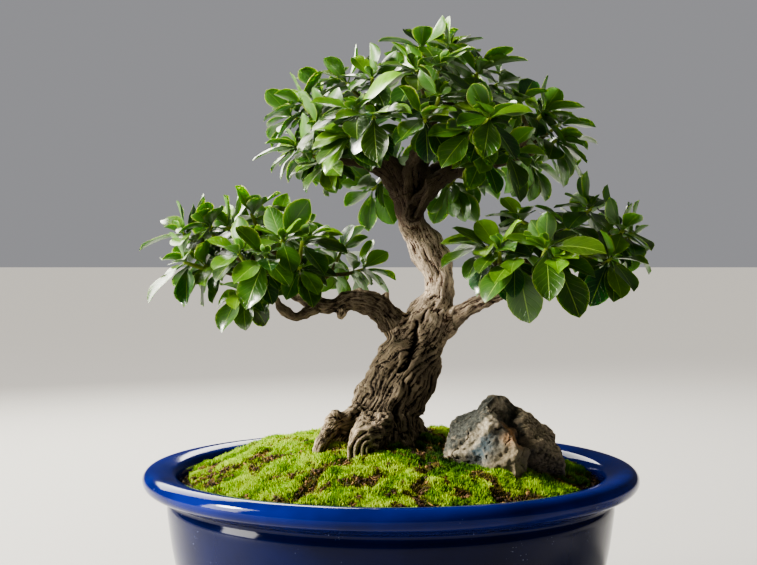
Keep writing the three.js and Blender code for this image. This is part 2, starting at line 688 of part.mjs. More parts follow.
const sprayPlans = SPRAYS.map(sprayPlan);
const stubs = SPRAYS.map(stubPlaces);
const wood = [
  ...Object.values(LIMBS).flatMap((places) => spotsAlong(places, 'trunk')),
  ...stubs.flatMap((places) => spotsAlong(places, 'trunk')),
  ...sprayPlans.flatMap(({ name, twig, buds }) => [
    ...spotsAlong(twig, name),
    ...buds.flatMap(({ shoot }) => spotsAlong(shoot, name)),
  ]),
];
const leaves = growLeaves(sprayPlans, wood);

// ---------------------------------------------------------------- pieces

function wallInside(height) {
  const t = (height - FLOOR_HEIGHT) / (POT_HEIGHT - FLOOR_HEIGHT);
  const swell = Math.sqrt(Math.max(1 - (1 - t) ** BOWL.swell, 0)) ** BOWL.lean;
  return BOWL.bottom + (WALL_INSIDE_RADIUS - BOWL.bottom) * swell;
}

function potSolid() {
  const top = POT_HEIGHT;
  const [low, high] = BOWL.levels;
  let pot = turned([
    [DRAIN_RADIUS, FLOOR_UNDERSIDE], [FOOT_INSIDE_RADIUS, FLOOR_UNDERSIDE],
    [FOOT_INSIDE_RADIUS, 0], [FOOT_RADIUS, 0],
    [FOOT_RADIUS + 6, 12], [121, 30], [131.3, top - 57], [136, top - 20],
    [133.8, top - 16], [143, top - 12.5], [148.5, top - 10], [RIM_RADIUS, top - 5.5],
    [147.4, top - 1.2], [141, top], [MOUTH_RADIUS, top - 3],
    [WALL_INSIDE_RADIUS, top - 11], [wallInside(high), high], [wallInside(low), low],
    [FLOOR_RADIUS, FLOOR_HEIGHT], [DRAIN_RADIUS, FLOOR_HEIGHT],
    [DRAIN_RADIUS, FLOOR_UNDERSIDE],
  ], POT_SIDES);
  for (let i = 0; i < NOTCH.count; i += 1) {
    const notch = new THREE.BoxGeometry(NOTCH.length, NOTCH.width, NOTCH.height * 2);
    notch.translate(FOOT_RADIUS, 0, 0);
    notch.rotateZ((i * 2 * Math.PI) / NOTCH.count + Math.PI / 2);
    pot = pot.subtract(solidFrom(notch));
  }
  return pot;
}

function screenSolid() {
  const bars = [];
  const pitch = (SCREEN.size - SCREEN.bar) / (SCREEN.bars - 1);
  for (let i = 0; i < SCREEN.bars; i += 1) {
    const place = (SCREEN.bar - SCREEN.size) / 2 + i * pitch;
    const height = FLOOR_HEIGHT + SEAT_GAP + SCREEN.thickness / 2;
    const across = new THREE.BoxGeometry(SCREEN.size, SCREEN.bar, SCREEN.thickness);
    const along = new THREE.BoxGeometry(SCREEN.bar, SCREEN.size, SCREEN.thickness);
    bars.push(solidFrom(across.translate(0, place, height)));
    bars.push(solidFrom(along.translate(place, 0, height)));
  }
  return wasm.Manifold.union(bars);
}

function woodSolid(growth) {
  const parts = [limb(LIMBS.trunk, TRUNK_SIDES, TRUNK_STEPS, growth, twistedBark)];
  for (const [name, places] of Object.entries(LIMBS)) {
    if (name !== 'trunk') parts.push(limb(places, LIMB_SIDES, places.length - 1, growth));
  }
  ROOTS.forEach((places) => parts.push(limb(places, LIMB_SIDES, places.length, growth)));
  KNOTS.forEach((places) => parts.push(limb(places, LIMB_SIDES, 1, growth)));
  stubs.forEach((places) => parts.push(limb(places, TWIG_SIDES, 1, growth)));
  return wasm.Manifold.union(parts);
}

function soilHeight(radius) {
  return SOIL_CROWN - SOIL_DROP * (radius / SOIL_RADIUS) ** 2;
}

// The profile of the soil's domed top, from its edge to its middle, raised by the rise.
function domeProfile(rise) {
  return DOME_PARTS.map((part) => {
    const radius = part * SOIL_RADIUS;
    return [radius, soilHeight(radius) + rise];
  });
}

function soilSolid(cutters) {
  const bottom = FLOOR_HEIGHT + SEAT_GAP;
  const profile = [[0, bottom], [FLOOR_RADIUS - 1, bottom]];
  BOWL.levels.forEach((height) => profile.push([wallInside(height) - SOIL_WALL_GAP, height]));
  profile.push(...domeProfile(0));
  const across = SCREEN.size + 2 * SCREEN.clearance;
  const pocket = new THREE.BoxGeometry(across, across, 2 * (SCREEN.thickness + 2 * SEAT_GAP));
  pocket.translate(0, 0, FLOOR_HEIGHT);
  return cutters.reduce((soil, cutter) => soil.subtract(cutter), turned(profile, POT_SIDES))
    .subtract(solidFrom(pocket));
}

// Low cushions on the moss, as a formula of the place in plan.
function mossRelief(x, y) {
  const waves = MOSS_WAVES;
  const cushions = Math.sin(x / waves.x + waves.phaseX) * Math.sin(y / waves.y + waves.phaseY);
  return MOSS_RELIEF * (cushions + waves.crossPart * Math.sin((x + y) / waves.cross));
}

function mossSheet() {
  const outline = [];
  for (let i = 0; i <= DOME_RINGS; i += 1) {
    const radius = (MOSS_RADIUS * i) / DOME_RINGS;
    const swell = MOSS_THICKNESS * Math.sqrt(1 - (i / DOME_RINGS) ** MOSS_EDGE.power) + MOSS_EDGE.lift;
    outline.unshift(new THREE.Vector2(radius, soilHeight(radius) + SEAT_GAP + swell));
  }
  outline.unshift(
    new THREE.Vector2(0, MOSS_UNDERSIDE),
    new THREE.Vector2(MOSS_RADIUS, MOSS_UNDERSIDE),
  );
  const dome = new THREE.LatheGeometry(outline, DOME_SIDES).rotateX(Math.PI / 2);
  const cushions = solidFrom(reshape(dome, (vertex) => {
    if (vertex.z > MOSS_UNDERSIDE + CUT_MARGIN) vertex.z += mossRelief(vertex.x, vertex.y);
    return vertex;
  }));
  const below = MOSS_UNDERSIDE - CUT_MARGIN;
  const underside = [[0, below], [SOIL_RADIUS, below], ...domeProfile(SEAT_GAP)];
  return cushions.subtract(turned(underside, POT_SIDES));
}

function seamSolid(places) {
  const curve = new THREE.CatmullRomCurve3(places.map(([x, y]) => new THREE.Vector3(x, y, 0)));
  const left = [];
  const right = [];
  for (let i = 0; i <= SEAM.steps; i += 1) {
    const centre = curve.getPoint(i / SEAM.steps);
    const tangent = curve.getTangent(i / SEAM.steps);
    const aside = { x: (tangent.y * SEAM.width) / 2, y: (tangent.x * SEAM.width) / 2 };
    left.push(new THREE.Vector2(centre.x - aside.x, centre.y + aside.y));
    right.unshift(new THREE.Vector2(centre.x + aside.x, centre.y - aside.y));
  }
  const plan = new THREE.Shape([...left, ...right]);
  const wall = new THREE.ExtrudeGeometry(plan, { depth: SEAM.height, bevelEnabled: false });
  return solidFrom(wall.translate(0, 0, SEAM.bottom));
}

function mossPatches(cutters) {
  const seams = MOSS_SEAMS.map(seamSolid);
  const cut = [...cutters, ...seams]
    .reduce((sheet, cutter) => sheet.subtract(cutter), mossSheet());
  const direction = (patch) => {
    const box = patch.boundingBox();
    return Math.atan2(box.min[1] + box.max[1], box.min[0] + box.max[0]);
  };
  return cut.decompose()
    .sort((a, b) => b.volume() - a.volume())
    .slice(0, MOSS_SEAMS.length)
    .sort((a, b) => direction(a) - direction(b));
}

// The rock, with the corners of each half moved out from its middle by the growth.
function rockSolid(growth) {
  const halves = ROCK_CORNERS.map((list) => {
    const corners = list.map(vector);
    const middle = new THREE.Vector3();
    corners.forEach((corner) => middle.addScaledVector(corner, 1 / corners.length));
    corners.forEach((corner) => {
      corner.addScaledVector(corner.clone().sub(middle).normalize(), growth * 2);
    });
    return solidFrom(new ConvexGeometry(corners));
  });
  return halves[0].add(halves[1]);
}

function spraySolid({ name, twig, buds }) {
  const parts = [limb(twig, TWIG_SIDES, 2)];
  buds.forEach(({ shoot }) => parts.push(limb(shoot, TWIG_SIDES, 1)));
  leaves.filter(({ spray }) => spray === name).forEach((leaf) => parts.push(bladeSolid(leaf)));
  return largestBody(wasm.Manifold.union(parts));
}

// ---------------------------------------------------------------- the assembled object

function material(color, roughness) {
  return new THREE.MeshStandardMaterial({ color, roughness, metalness: 0 });
}

const MATERIALS = {
  glaze: material(0x0b2f7a, 0.12),
  screen: material(0x1c1c1c, 0.6),
  soil: material(0x3a2a1e, 0.95),
  moss: material(0x6f9418, 0.95),
  rock: material(0x83827c, 0.85),
  bark: material(0x6b5546, 0.85),
  leaf: material(0x2f7a1d, 0.35),
};

const bonsai = new THREE.Group();

function addPiece(name, solid, finish) {
  const mesh = new THREE.Mesh(geometryFrom(solid), finish);
  mesh.name = name;
  bonsai.add(mesh);
}

const grownWood = woodSolid(WOOD_GAP);
const grownRock = rockSolid(SEAT_GAP);

addPiece('pot', potSolid(), MATERIALS.glaze);
addPiece('drain_screen', screenSolid(), MATERIALS.screen);
addPiece('soil', largestBody(soilSolid([grownWood, grownRock])), MATERIALS.soil);
mossPatches([grownWood, grownRock]).forEach((patch, i) => {
  addPiece(`moss_${i + 1}`, patch, MATERIALS.moss);
});
addPiece('rock', rockSolid(0), MATERIALS.rock);
addPiece('trunk', woodSolid(0), MATERIALS.bark);
sprayPlans.forEach((plan) => addPiece(`spray_${plan.name}`, spraySolid(plan), MATERIALS.leaf));

export default bonsai;
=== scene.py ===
"""A small broad-leaved bonsai in a round glazed pot, with moss and a rock, dressed for rendering."""

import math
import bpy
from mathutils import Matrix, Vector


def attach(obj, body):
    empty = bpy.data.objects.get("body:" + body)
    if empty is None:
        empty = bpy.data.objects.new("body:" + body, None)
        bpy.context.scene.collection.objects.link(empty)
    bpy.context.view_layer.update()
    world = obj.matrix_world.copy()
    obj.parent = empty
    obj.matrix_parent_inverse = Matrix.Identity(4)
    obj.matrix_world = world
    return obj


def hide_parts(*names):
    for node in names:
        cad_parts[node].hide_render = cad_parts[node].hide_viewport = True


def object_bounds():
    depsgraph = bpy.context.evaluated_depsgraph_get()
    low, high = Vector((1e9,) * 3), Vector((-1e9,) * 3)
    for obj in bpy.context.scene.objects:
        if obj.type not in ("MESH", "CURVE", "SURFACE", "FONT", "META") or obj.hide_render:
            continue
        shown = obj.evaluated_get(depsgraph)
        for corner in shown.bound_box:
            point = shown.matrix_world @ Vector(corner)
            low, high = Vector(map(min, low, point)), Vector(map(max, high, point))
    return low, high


bl_info = {
    "name": "Bonsai tree in a pot",
    "version": (1, 0, 0),
    "blender": (4, 5, 0),
    "location": "View3D > Sidebar > Bonsai",
    "description": "Models a potted bonsai with its bark, leaves, moss, rock and glazed pot",
    "category": "Object",
}

from functools import partial

import bpy
import numpy as np
from bpy.props import FloatProperty, FloatVectorProperty, IntProperty, PointerProperty
from mathutils import Vector, noise
from mathutils.bvhtree import BVHTree
from mathutils.kdtree import KDTree

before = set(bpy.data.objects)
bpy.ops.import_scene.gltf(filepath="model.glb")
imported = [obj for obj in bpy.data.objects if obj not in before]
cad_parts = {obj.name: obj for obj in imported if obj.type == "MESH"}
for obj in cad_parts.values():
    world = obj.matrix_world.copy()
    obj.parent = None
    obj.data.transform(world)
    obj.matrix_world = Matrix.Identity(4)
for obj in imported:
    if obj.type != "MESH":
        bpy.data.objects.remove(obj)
CAD_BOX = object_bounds()

MM = 0.001
BODY = "root"

# ---------------------------------------------------------------- driving dimensions, in mm

RIM_RADIUS = 150
MOUTH_RADIUS = 130.5
WALL_INSIDE_RADIUS = 128
FOOT_RADIUS = 100
FOOT_INSIDE_RADIUS = 90
FLOOR_HEIGHT = 12
FLOOR_UNDERSIDE = 4
DRAIN_RADIUS = 14
NOTCH = {"length": 30, "width": 30, "height": 4, "count": 3}
POT_STEPS = 144
CORNER_STEPS = 5

SOIL_CROWN = 130
SOIL_DROP = 22
SOIL_RADIUS = 127.7

# The folds round the trunk: how far they turn from its foot to its top, how many, how deep and
# drifting they are, and the share of them that is drawn.
TRUNK_TURN = 4.2
FOLDS = [(3, 0.075, 0), (5, 0.06, 9)]
FOLD_SHARE = 0.7
# The shares of the trunk's length between which its bark turns young, the depth that the folds
# keep there, and the limbs' age.
BARK_AGE = {"turns": (0.5, 0.72), "youngDepth": 0.25, "limbs": 0.5}

# The stub on a limb that a spray stands on, the radii of its twigs and where they fork, in mm.
STUB = {"start": 2.6, "startPart": 0.9, "seat": 2}
TWIG = {"seat": 1.8, "fork": 1.5, "shoot": 1.4, "middle": 1.3, "bud": 1.1}
FORK = {"straight": 3.5, "part": 0.4, "rise": 2, "sag": 1}
SEAT_GAP = 0.3
TWIG_ROOT = 1.6
SEARCH_STEPS = 40
STEPS_PER_MM = {"wood": 0.5, "twigs": 0.4}
# Twigs turn green on the last stretch before their buds, in mm.
TWIG_GREEN = (-16, -2)

LEAVES_PER_SHOOT = {"bare": 3, "given": 2}
LEAF = {
    "width": 0.56, "fold": 0.16, "petiole": 0.15, "roundPart": 1.2, "shortest": 20, "longest": 31,
}
LEAF_SEED = 20517
OUTLINE = {"stalk": 0.09, "skew": 1.12, "fullness": 0.72}
# The outline that is drawn: blunter and widest past the middle.
BLADE = {"stalk": 0.09, "skew": 1.26, "fullness": 0.64}
ARCH = {"least": 0.14, "lying": 0.22}
FACING = {"up": 0.75, "out": 0.65, "inward": -0.8, "upright": 0.75}
# How a leaf grows from its shoot. Angles are in degrees, and an old leaf has an age of 1.
GROWTH = {
    "along": 0.8, "outward": 0.5, "up": 0.45, "opening": 38, "openingOld": 68,
    "scatter": 14, "droop": 0.28, "youngLength": 0.25, "rootBack": 0.6,
    "rootBackOld": 3.4, "givenRootBack": 0.8,
}
# How far leaves keep from wood and from each other: first round, then where they crowd in.
CLEAR = {
    "blade": 1.7, "edge": 1.2, "woodReach": 4, "leafReach": 6, "sameShoot": 8,
    "pastTip": 1.04, "nearTip": 0.96, "fromSameShoot": 0.4, "fromOtherLeaf": 0.08,
    "fromOwnWood": 0.3, "fromOtherWood": 0.05,
}
CROWDED = {**CLEAR, "blade": 0.8, "edge": 0.1, "fromSameShoot": 0.5, "fromOtherLeaf": 0.16}
# A given leaf is tried at its tip's place and at these shifts in depth, in mm.
TIP_SHIFTS = [0, -4, 4, -8, 8, -12, 12]
GOLDEN_ANGLE = math.radians(137.508)
TRIES = 5
CROWDED_TRIES = 9
PAD_CENTRES = {"crown": (20, 2, 300), "left": (-72, 0, 225), "right": (92, -30, 225)}
# Where a blade is tried against the wood and other leaves, as shares along it, and how far apart
# the spots on the wood are, in mm.
EDGE_STATIONS = [0.22, 0.34, 0.46, 0.58, 0.7, 0.82, 0.92, 1]
SPOT_SPACING = 2.5

# How young the leaves look, and the smallest ones that stand up at each bud.
YOUTH = {
    "hanging": 0.12, "upright": 0.6, "rule": 0.45, "filling": 0.9,
    "leaves": 3, "age": -0.25, "shortest": 7, "spread": 6,
}
FILLING_AGES = [0.85, 0.6, 0.4, 0.2, 0.95, 0.05]
# Smaller leaves further back along each shoot, which close the inside of the pads.
SIDE_LEAVES = {
    "rounds": 5, "first": 0.25, "last": 0.9, "age": 0.9, "size": 0.72, "youth": 0.15,
}
# A leaf's rings of corners, from its root to its tip.
LEAF_RINGS = [0, 0.1, 0.19, 0.3, 0.43, 0.57, 0.7, 0.82, 0.93, 1]
# A leaf's blade in mm: half its stalk's thickness, its midrib's groove, how its margin waves and
# twists and how often, and how far it cups.
BLADE_RELIEF = {
    "stalk": 0.5, "groove": -0.28, "wave": 0.55, "waves": 9, "twist": 0.35, "twists": 6, "cup": 1.6,
}

# How many stations the bark's relief reads for each place of a limb, and how far out from the
# trunk its own ridges still rule over those of roots and limbs, in mm.
STATIONS_EACH = 5
TRUNK_RULE = 4.5
# Smooth noise on the wood, layer by layer: height in mm, or angle, grain in mm and a shift.
LUMPS = [(2.8, 17, 5.5), (1.6, 8, 2.2)]
KNOBS = [(1.3, 6.5, 8.8), (0.9, 3, 4.1)]
STRAND_BENDS = [(0.24, 26, 0), (0.12, 8, 3.1)]
# Lumps shrink on wood thinner than this radius, down to a share, and the trunk has fewer knobs.
LUMPY = {"radius": 9, "least": 0.3, "knobs": 0.9, "trunkKnobs": 0.4}
# How the strands wind: the trunk's turn in all, a limb's for each mm, and the thinnest wood that
# they count. Along the wood they are drawn out, and each limb has its own.
STRANDS = {"turn": 0.9, "limbTurn": 0.01, "thinnest": 3, "drawnOut": 0.085, "apart": 31.7}
# The crests of the bark: how much shorter they are along the wood, their grain in mm, a shift,
# and how wide the crest is against its crack. A power below 1 rounds them.
CRESTS = {
    "strands": (1, 4.4, 0, 0.34), "cords": (1.2, 2.3, 7.7, 0.36),
    "plates": (3.4, 4.2, 4.4, 0.26), "flakes": (6, 2.4, 1.9, 0.34),
}
CREST_POWER = 0.6
BARK_MIX = {
    "smooth": {"strands": 0.55, "cords": 0.45},
    "rough": {"strands": 0.35, "flakes": 0.65},
    "young": {"plates": 0.5, "cords": 0.25, "flakes": 0.25},
}
# Where the old bark is rough: grain and shift of the noise, its spread and middle, the most, and
# the roots' share.
ROUGH_BARK = {"noise": (13, 7.1), "spread": 1.6, "middle": 0.15, "most": 0.6, "roots": 0.7}
# How deep the cracks go: less on young bark and on wood thinner than this radius, half on twigs.
CRACKS = {"young": 0.75, "radius": 12, "least": 0.4, "most": 1.1, "twig": 3, "middle": 0.7}
# What lifts bark out of its cracks' darkness, each against the corner's height in mm. Corners
# that lie deep, in cracks and hollows, stay dark, partly as the bark's own colour and partly as painted
# shade.
CREST_TONE = {"middle": 0.5, "sharp": 0.6, "relief": 0.3, "hollow": 0.09, "lip": 0.6, "young": 0.12}
# How young the bark of limbs and roots looks, and the heights in mm between which the trunk's
# turns young, and old again below the fork, where its darker old bark is painted shade.
YOUNG_BARK = {"left": 0.12, "left_low": 0.1, "right": 0.4, "others": 0.15, "roots": 0.2}
YOUNG_HEIGHTS = {"none": 165, "turns": (188, 214), "fork": (256, 276), "forkPaintedShade": 0.8}
# How much darker the bark of limbs is than the trunk's, partly their own colour and partly
# painted shade, and the painted shade on the trunk's right side, which ends between two
# heights, and at its fork.
LIMB_DARKNESS_AND_PAINTED_SHADE = {"trunk": 0, "right": 0.35, "left": 0.6, "left_low": 0.6, "others": 0.95, "roots": 0}
PAINTED_SHADE_SIDE = {"share": 0.5, "across": (0, 0.8), "heights": (172, 200)}
PAINTED_SHADE_FORK = (250, 274)

POINTS_AT_ONCE = 4096
# The width of the meshes' faces in mm, and how many rounds fill crotches and tell edges.
WOOD_VOXEL = 0.92
ROCK_VOXEL = 0.7
MOSS_VOXEL = 1.6
CROTCH_ROUNDS = 24
EDGE_SMOOTHINGS = 8
CRACK_SMOOTHINGS = 5
# Moss shoots in mm. A pair is the least and how much more the tallest or widest has.
SHOOTS = {
    "seed": 40, "steepest": 0.25, "lean": 0.22, "upright": 0.6, "radius": 0.38, "sunk": 0.4,
    "thinned": 0.5, "clump": 6, "tall": (0.55, 0.5), "clumped": (0.8, 0.5), "wide": (0.8, 0.5),
    "dried": 0.4, "root": 0.12, "quick": 4,
}
# The cushion under them: its swells, and how pale and how fresh it looks between the shoots,
# where it is dark, partly as older moss and partly as painted shade.
MOSS_SWELLS = [(3.4, 13, 0), (1.4, 5, 0)]
MOSS_MAT = {"tip": 0.08, "tone": 0.4}
# How far the rock is broken down to flat faces: how many, how deep and how far each reaches.
FACETS = {
    "seed": 1, "count": 95, "least": 0.4, "most": 1.5, "reach": 14, "full": 0.6, "tilt": 0.18,
}
# Before that it swells, and after it come rough breaks and creases, in mm; the creases get painted shade.
ROCK_SWELL = {"noise": [(2.0, 15, 2.0)], "lift": 1.1}
ROCK_BREAKS = [(0.9, 4.5, 8.0), (0.6, 1.8, 0)]
CREASES = {"flatter": 1.5, "noise": (9, 4.0), "width": 0.05, "depth": 1.2, "dark": 0.8}
CREASED = {"noise": (7, 5.2), "soft": (-0.05, 0.15)}
# How far a corner stands out or lies deep where it counts as an edge or as a hollow; hollows get painted
# shade.
ROCK_EDGE = (0.12, 0.6)
ROCK_PAINTED_SHADE_HOLLOW = (0.15, 0.7)
# Its kinds of stone meet along wandering lines: the dark side begins at a place across, which
# leans with height, and the top above a slope, with the pale vein below it.
ROCK_WANDER = [(5, 9, 3.0), (3, 3, 1.0)]
DARK_STONE = {"across": 73, "lean": 0.3, "height": 160, "soft": (-1.5, 2.5)}
TOP_STONE = {"across": 32.6, "height": 130, "slope": 1.04, "soft": (0, 3)}
VEIN = {"below": 3, "soft": (-5.5, -2)}
# Litter lies between the moss patches and where the moss has dried, in mm.
LITTER = {
    "seam": 4.5, "seamFrom": 0.5, "fray": (9, 9, 3.3), "dry": 0.16, "dryer": 0.38, "rim": 121,
    "share": 0.6, "lift": 0.9, "bareLift": 0.3, "shoulder": 6, "sink": 2.6, "spread": 0.5,
}
DRY_SPOTS = [(1, 11, 2.2), (0.45, 3.5, 6.1)]
CRUMBS = {
    "seed": 7, "tries": 30000, "smallest": 0.35, "spread": 0.8, "stalks": 0.6,
    "shape": (0.6, 0.8), "stalk": (0.4, 0.4, 2.4), "lying": (1, 1, 0.5),
}
SURVEY_HEIGHT = 165
# Painted shade on the moss between the trunk and the rock: a darker spot.
MOSS_PAINTED_SHADE = {"centre": (31, -48, 128), "reach": 42, "full": 16.8, "strength": -0.5}
# Stains on the rock's broken face: centre, reach, strength and colour.
ROCK_STAINS = [
    ((69, -62, 129), 12, 1.0, 0x9C8E70), ((53, -58, 136), 8, 0.9, 0x30505E),
    ((69, -57, 140), 6, 1.0, 0xA87440), ((70, -52, 149), 6, 1.0, 0xA07444),
]
# The other kinds of stone on it, by attribute: dark grains and light grains.
ROCK_ZONES = [("top", 0x2C2E28, 0x5C5E54), ("dark", 0x5E5644, 0xB8A88A), ("vein", 0x8A806A, 0xC0B69E)]

# The camera's place in mm, how far down it looks, in degrees, its lens and sensor, and what it
# sees, in metres.
CAMERA = {
    "place": (-7.4, -800, 245), "down": 1.12, "lens": 62.0, "sensor": 36, "clip": (0.01, 100),
}
LIT_PLACE = (0, 0, 0.22)
# Softboxes: name, place and size in metres, power in watts, colour and whether gloss shows them.
LIGHTS = [
    ("window_softbox", (-1.25, -0.3, 0.55), (0.5, 0.9), 26, 0xFFFCF6, True),
    ("leaf_glow", (-0.6, 1.1, 0.95), (1.3, 0.8), 28, 0xFFFDF2, True),
    ("side_fill", (1.3, 0.8, 0.9), (1.1, 1.1), 7, 0xFFFFFF, False),
]
# The key light, as from a big far window: where it comes from, how wide and how strong it is.
KEY_LIGHT = {"from": (-1.0, -0.1, 0.62), "width": 12, "strength": 6.8, "colour": 0xFFFAF2}
# The backdrop's grey, how bright the camera sees it and how much light it gives, and the floor's
# colour and its size in metres.
STUDIO = {"grey": 0xC4C4C8, "backdrop": 0.5, "fill": 0.12, "floor": 0xC6C4C0, "size": 60}
CONTRAST = "AgX - Medium High Contrast"

# ---------------------------------------------------------------- the wood, in mm
# Each limb is a list of places along it: x, y, z and the radius there.

LIMBS = {
    "trunk": [
        (-4, -6, 100, 24), (-4, -8, 126, 27), (-3.5, -8, 140, 24), (-2, -7, 152, 21.5),
        (3, -5, 164, 21), (9, -3, 176, 20.5), (14, -1, 185, 18.5), (17.5, 0, 193, 17),
        (22.5, 1, 203, 15.5), (27, 2, 211, 13.5), (30.5, 3, 219, 11), (31, 4, 228, 10),
        (30.5, 5, 236, 9.8), (27.5, 6, 243, 10), (22.5, 7, 251, 10), (17, 8, 259, 9.6),
        (13, 8, 268, 9.4), (11, 8, 277, 9),
    ],
    "crown_left": [
        (12, 8, 268, 8), (9, 8, 277, 7.6), (4.5, 5, 290, 6.6), (-3, 1, 304, 5.4),
        (-14, -2, 314, 4.2), (-25, -1, 320, 3.2),
    ],
    "crown_left_low": [
        (6, 7, 283, 5), (-5, 0, 296, 3.8), (-18, -6, 302, 3.2), (-32, -12, 304, 2.6),
    ],
    "crown_middle": [
        (12, 8, 266, 8), (14, 9, 277, 7.4), (18, 13, 294, 5.8), (22, 14, 312, 4.8),
        (25, 10, 327, 3.9), (28, 6, 338, 3),
    ],
    "crown_front": [
        (14, 8, 284, 5), (12, -4, 296, 4.2), (14, -22, 304, 3.5), (17, -38, 309, 2.8),
    ],
    "crown_back_left": [
        (15, 10, 284, 5), (9, 24, 297, 4.2), (0, 40, 306, 3.4), (-5, 50, 312, 2.8),
    ],
    "crown_back_right": [
        (18, 12, 290, 5), (30, 26, 301, 4.4), (44, 44, 311, 3.4), (56, 58, 318, 2.8),
    ],
    "crown_right": [
        (12, 6, 262, 8), (13, 4, 272, 8), (20.5, 0, 284, 7.2), (31, -4, 294, 6.2),
        (44, -3, 299, 5.2), (60, 2, 302, 4.2), (73, 4, 306, 3.2),
    ],
    "left": [
        (16, 0, 188, 12), (12, 0, 196, 11), (2, -2, 205, 9.5), (-6.5, -4, 214, 8.2),
        (-15.5, -6, 218, 7.4), (-25, -6, 219, 6.2), (-34, -4, 215.5, 5.2),
        (-44.5, -2, 216, 4.4), (-55.5, 0, 221, 3.9), (-65, 2, 228, 3.5),
        (-75.5, 4, 235, 3), (-84, 4, 238, 2.6),
    ],
    "left_low": [
        (-42, -2, 215.5, 3.6), (-53, -6, 210.5, 3.2), (-60, -10, 209, 3),
        (-67, -12, 216, 2.6), (-71, -14, 222, 2.3),
    ],
    "right": [
        (26, 0, 194, 8.5), (31, -1, 200, 7.6), (40.5, -4, 209, 6.6), (50, -10, 216, 5.8),
        (60, -16, 221, 5), (69.5, -22, 226, 4.4), (80, -26, 232, 4), (94, -28, 238, 3.5),
        (108, -30, 242, 3), (117, -31, 243.5, 2.6),
    ],
}

# The same limbs as they are drawn: the leaves keep clear of the ones above.
DRAWN_LIMBS = {
    "trunk": [
        (-4, -6, 100, 20), (-2.5, -7, 126, 20.5), (-1.8, -8, 140, 19), (-1.8, -7, 152, 18.6),
        (2, -5, 162, 19.6), (8.6, -3, 174, 20.6), (12.5, -1, 183, 19.2), (17, 0, 192, 16.4),
        (22, 1, 203, 14.4), (25, 2, 211, 12.6), (30, 3, 218, 10.2), (31.2, 4, 226, 9.2),
        (30, 5, 234, 9.4), (27, 6, 241, 10), (23, 7, 249, 10.6), (18.5, 8, 257, 10.4),
        (14, 8, 265, 9.4), (11.5, 8, 274, 8.6),
    ],
    "crown_right": [
        (14, 4, 260, 7), (14, 0, 270, 6.4), (21, -2, 282, 5.6), (31, -4, 293, 5),
        (44, -3, 299, 4.6), (60, 2, 302, 4), LIMBS["crown_right"][-1],
    ],
    "right": [
        (26, 0, 194, 8), (31, -1, 200, 6.8), (40.5, -4, 209, 5.8), (50, -10, 216, 5),
        (60, -16, 221, 4.4), (69.5, -22, 226, 4), (80, -26, 232, 3.8), *LIMBS["right"][-3:],
    ],
}

ROOTS = [
    [(-8, -8, 158, 12), (-17, -17, 151, 8), (-24, -24, 148, 6), (-29, -29, 146.2, 5.6),
     (-34, -33, 144, 5.2), (-38.5, -36, 139.5, 4.4), (-42, -39, 133, 3.6), (-45, -41, 120, 3.4)],
    [(-8, -18, 150, 9), (-13, -31, 145, 6), (-18, -41, 143, 4.4), (-21, -47, 138, 3.8),
     (-21, -49, 122, 3.4)],
    [(-2, -18, 150, 8.5), (-6, -34, 145, 5.6), (-11, -46, 143.5, 4.4), (-14, -52, 139, 3.8),
     (-14, -54, 122, 3.4)],
    [(4, -16, 145, 9), (8, -28, 133, 6.4), (16, -38, 124, 4.6), (24, -46, 112, 4)],
    [(6, -4, 146, 11), (13, 0, 138, 8), (21, 3, 131, 5.6), (29, 6, 124, 4.4), (36, 8, 112, 3.6)],
    [(0, 8, 150, 12), (6, 25, 138, 8), (10, 40, 130, 5.4), (12, 52, 114, 4)],
    [(-12, 6, 148, 10), (-27, 18, 136, 7.4), (-40, 28, 130, 5.6), (-50, 36, 114, 4)],
]

# Rootlets that fill the hollows under the roots, down into the moss.
ROOTLETS = [
    [(-10, -14, 148, 9), (-22, -24, 140, 6), (-30, -30, 130, 4.4), (-34, -34, 116, 4)],
    [(-12, -14, 148, 8), (-23, -18, 138, 6.5), (-30, -21, 122, 5)],
    [(-4, -18, 147, 9), (-10, -32, 138, 7), (-14, -42, 128, 5.5), (-15, -46, 116, 5)],
    [(0, -16, 146, 10), (0, -28, 135, 7), (2, -34, 122, 6), (2, -36, 114, 5)],
    [(-10, -22, 148, 7), (-19, -36, 139, 5), (-21, -44, 129, 4), (-22, -46, 116, 4)],
    [(-14, -18, 148, 7), (-23, -23, 143, 6), (-30, -27, 138, 5.4), (-34, -30, 128, 4.6),
     (-35, -31, 116, 4)],
]

# Knuckled roots that curl down at the front of the left root, one inside the other.
KNUCKLES = [
    [(-7, -42, 143, 4), (-12, -50, 144, 4.2), (-17, -54, 142.6, 4), (-21, -55.5, 138.4, 3.6),
     (-22.6, -56, 131, 3.2), (-23, -56, 120, 3)],
    [(-8, -46, 140, 3.8), (-13, -54, 140.4, 3.8), (-17, -57, 137.5, 3.4), (-18.8, -57.5, 131, 3),
     (-18.8, -57.5, 120, 2.8)],
    [(-9, -50, 136, 3.4), (-13, -56, 137, 3.2), (-15.4, -58.5, 134, 2.8), (-15.6, -58.5, 120, 2.6)],
]
# Arches that the knuckles show from the front: their middle, the outermost, their spacing, and
# how they waver. They fade out towards the right.
ARCHES = {
    "centre": (-13.5, 136.5), "radius": 10.2, "apart": 3.4, "depth": 3.6, "waver": (1.5, 9, 0),
    "roundness": 0.8, "least": 0.2, "fade": (9, 15),
}

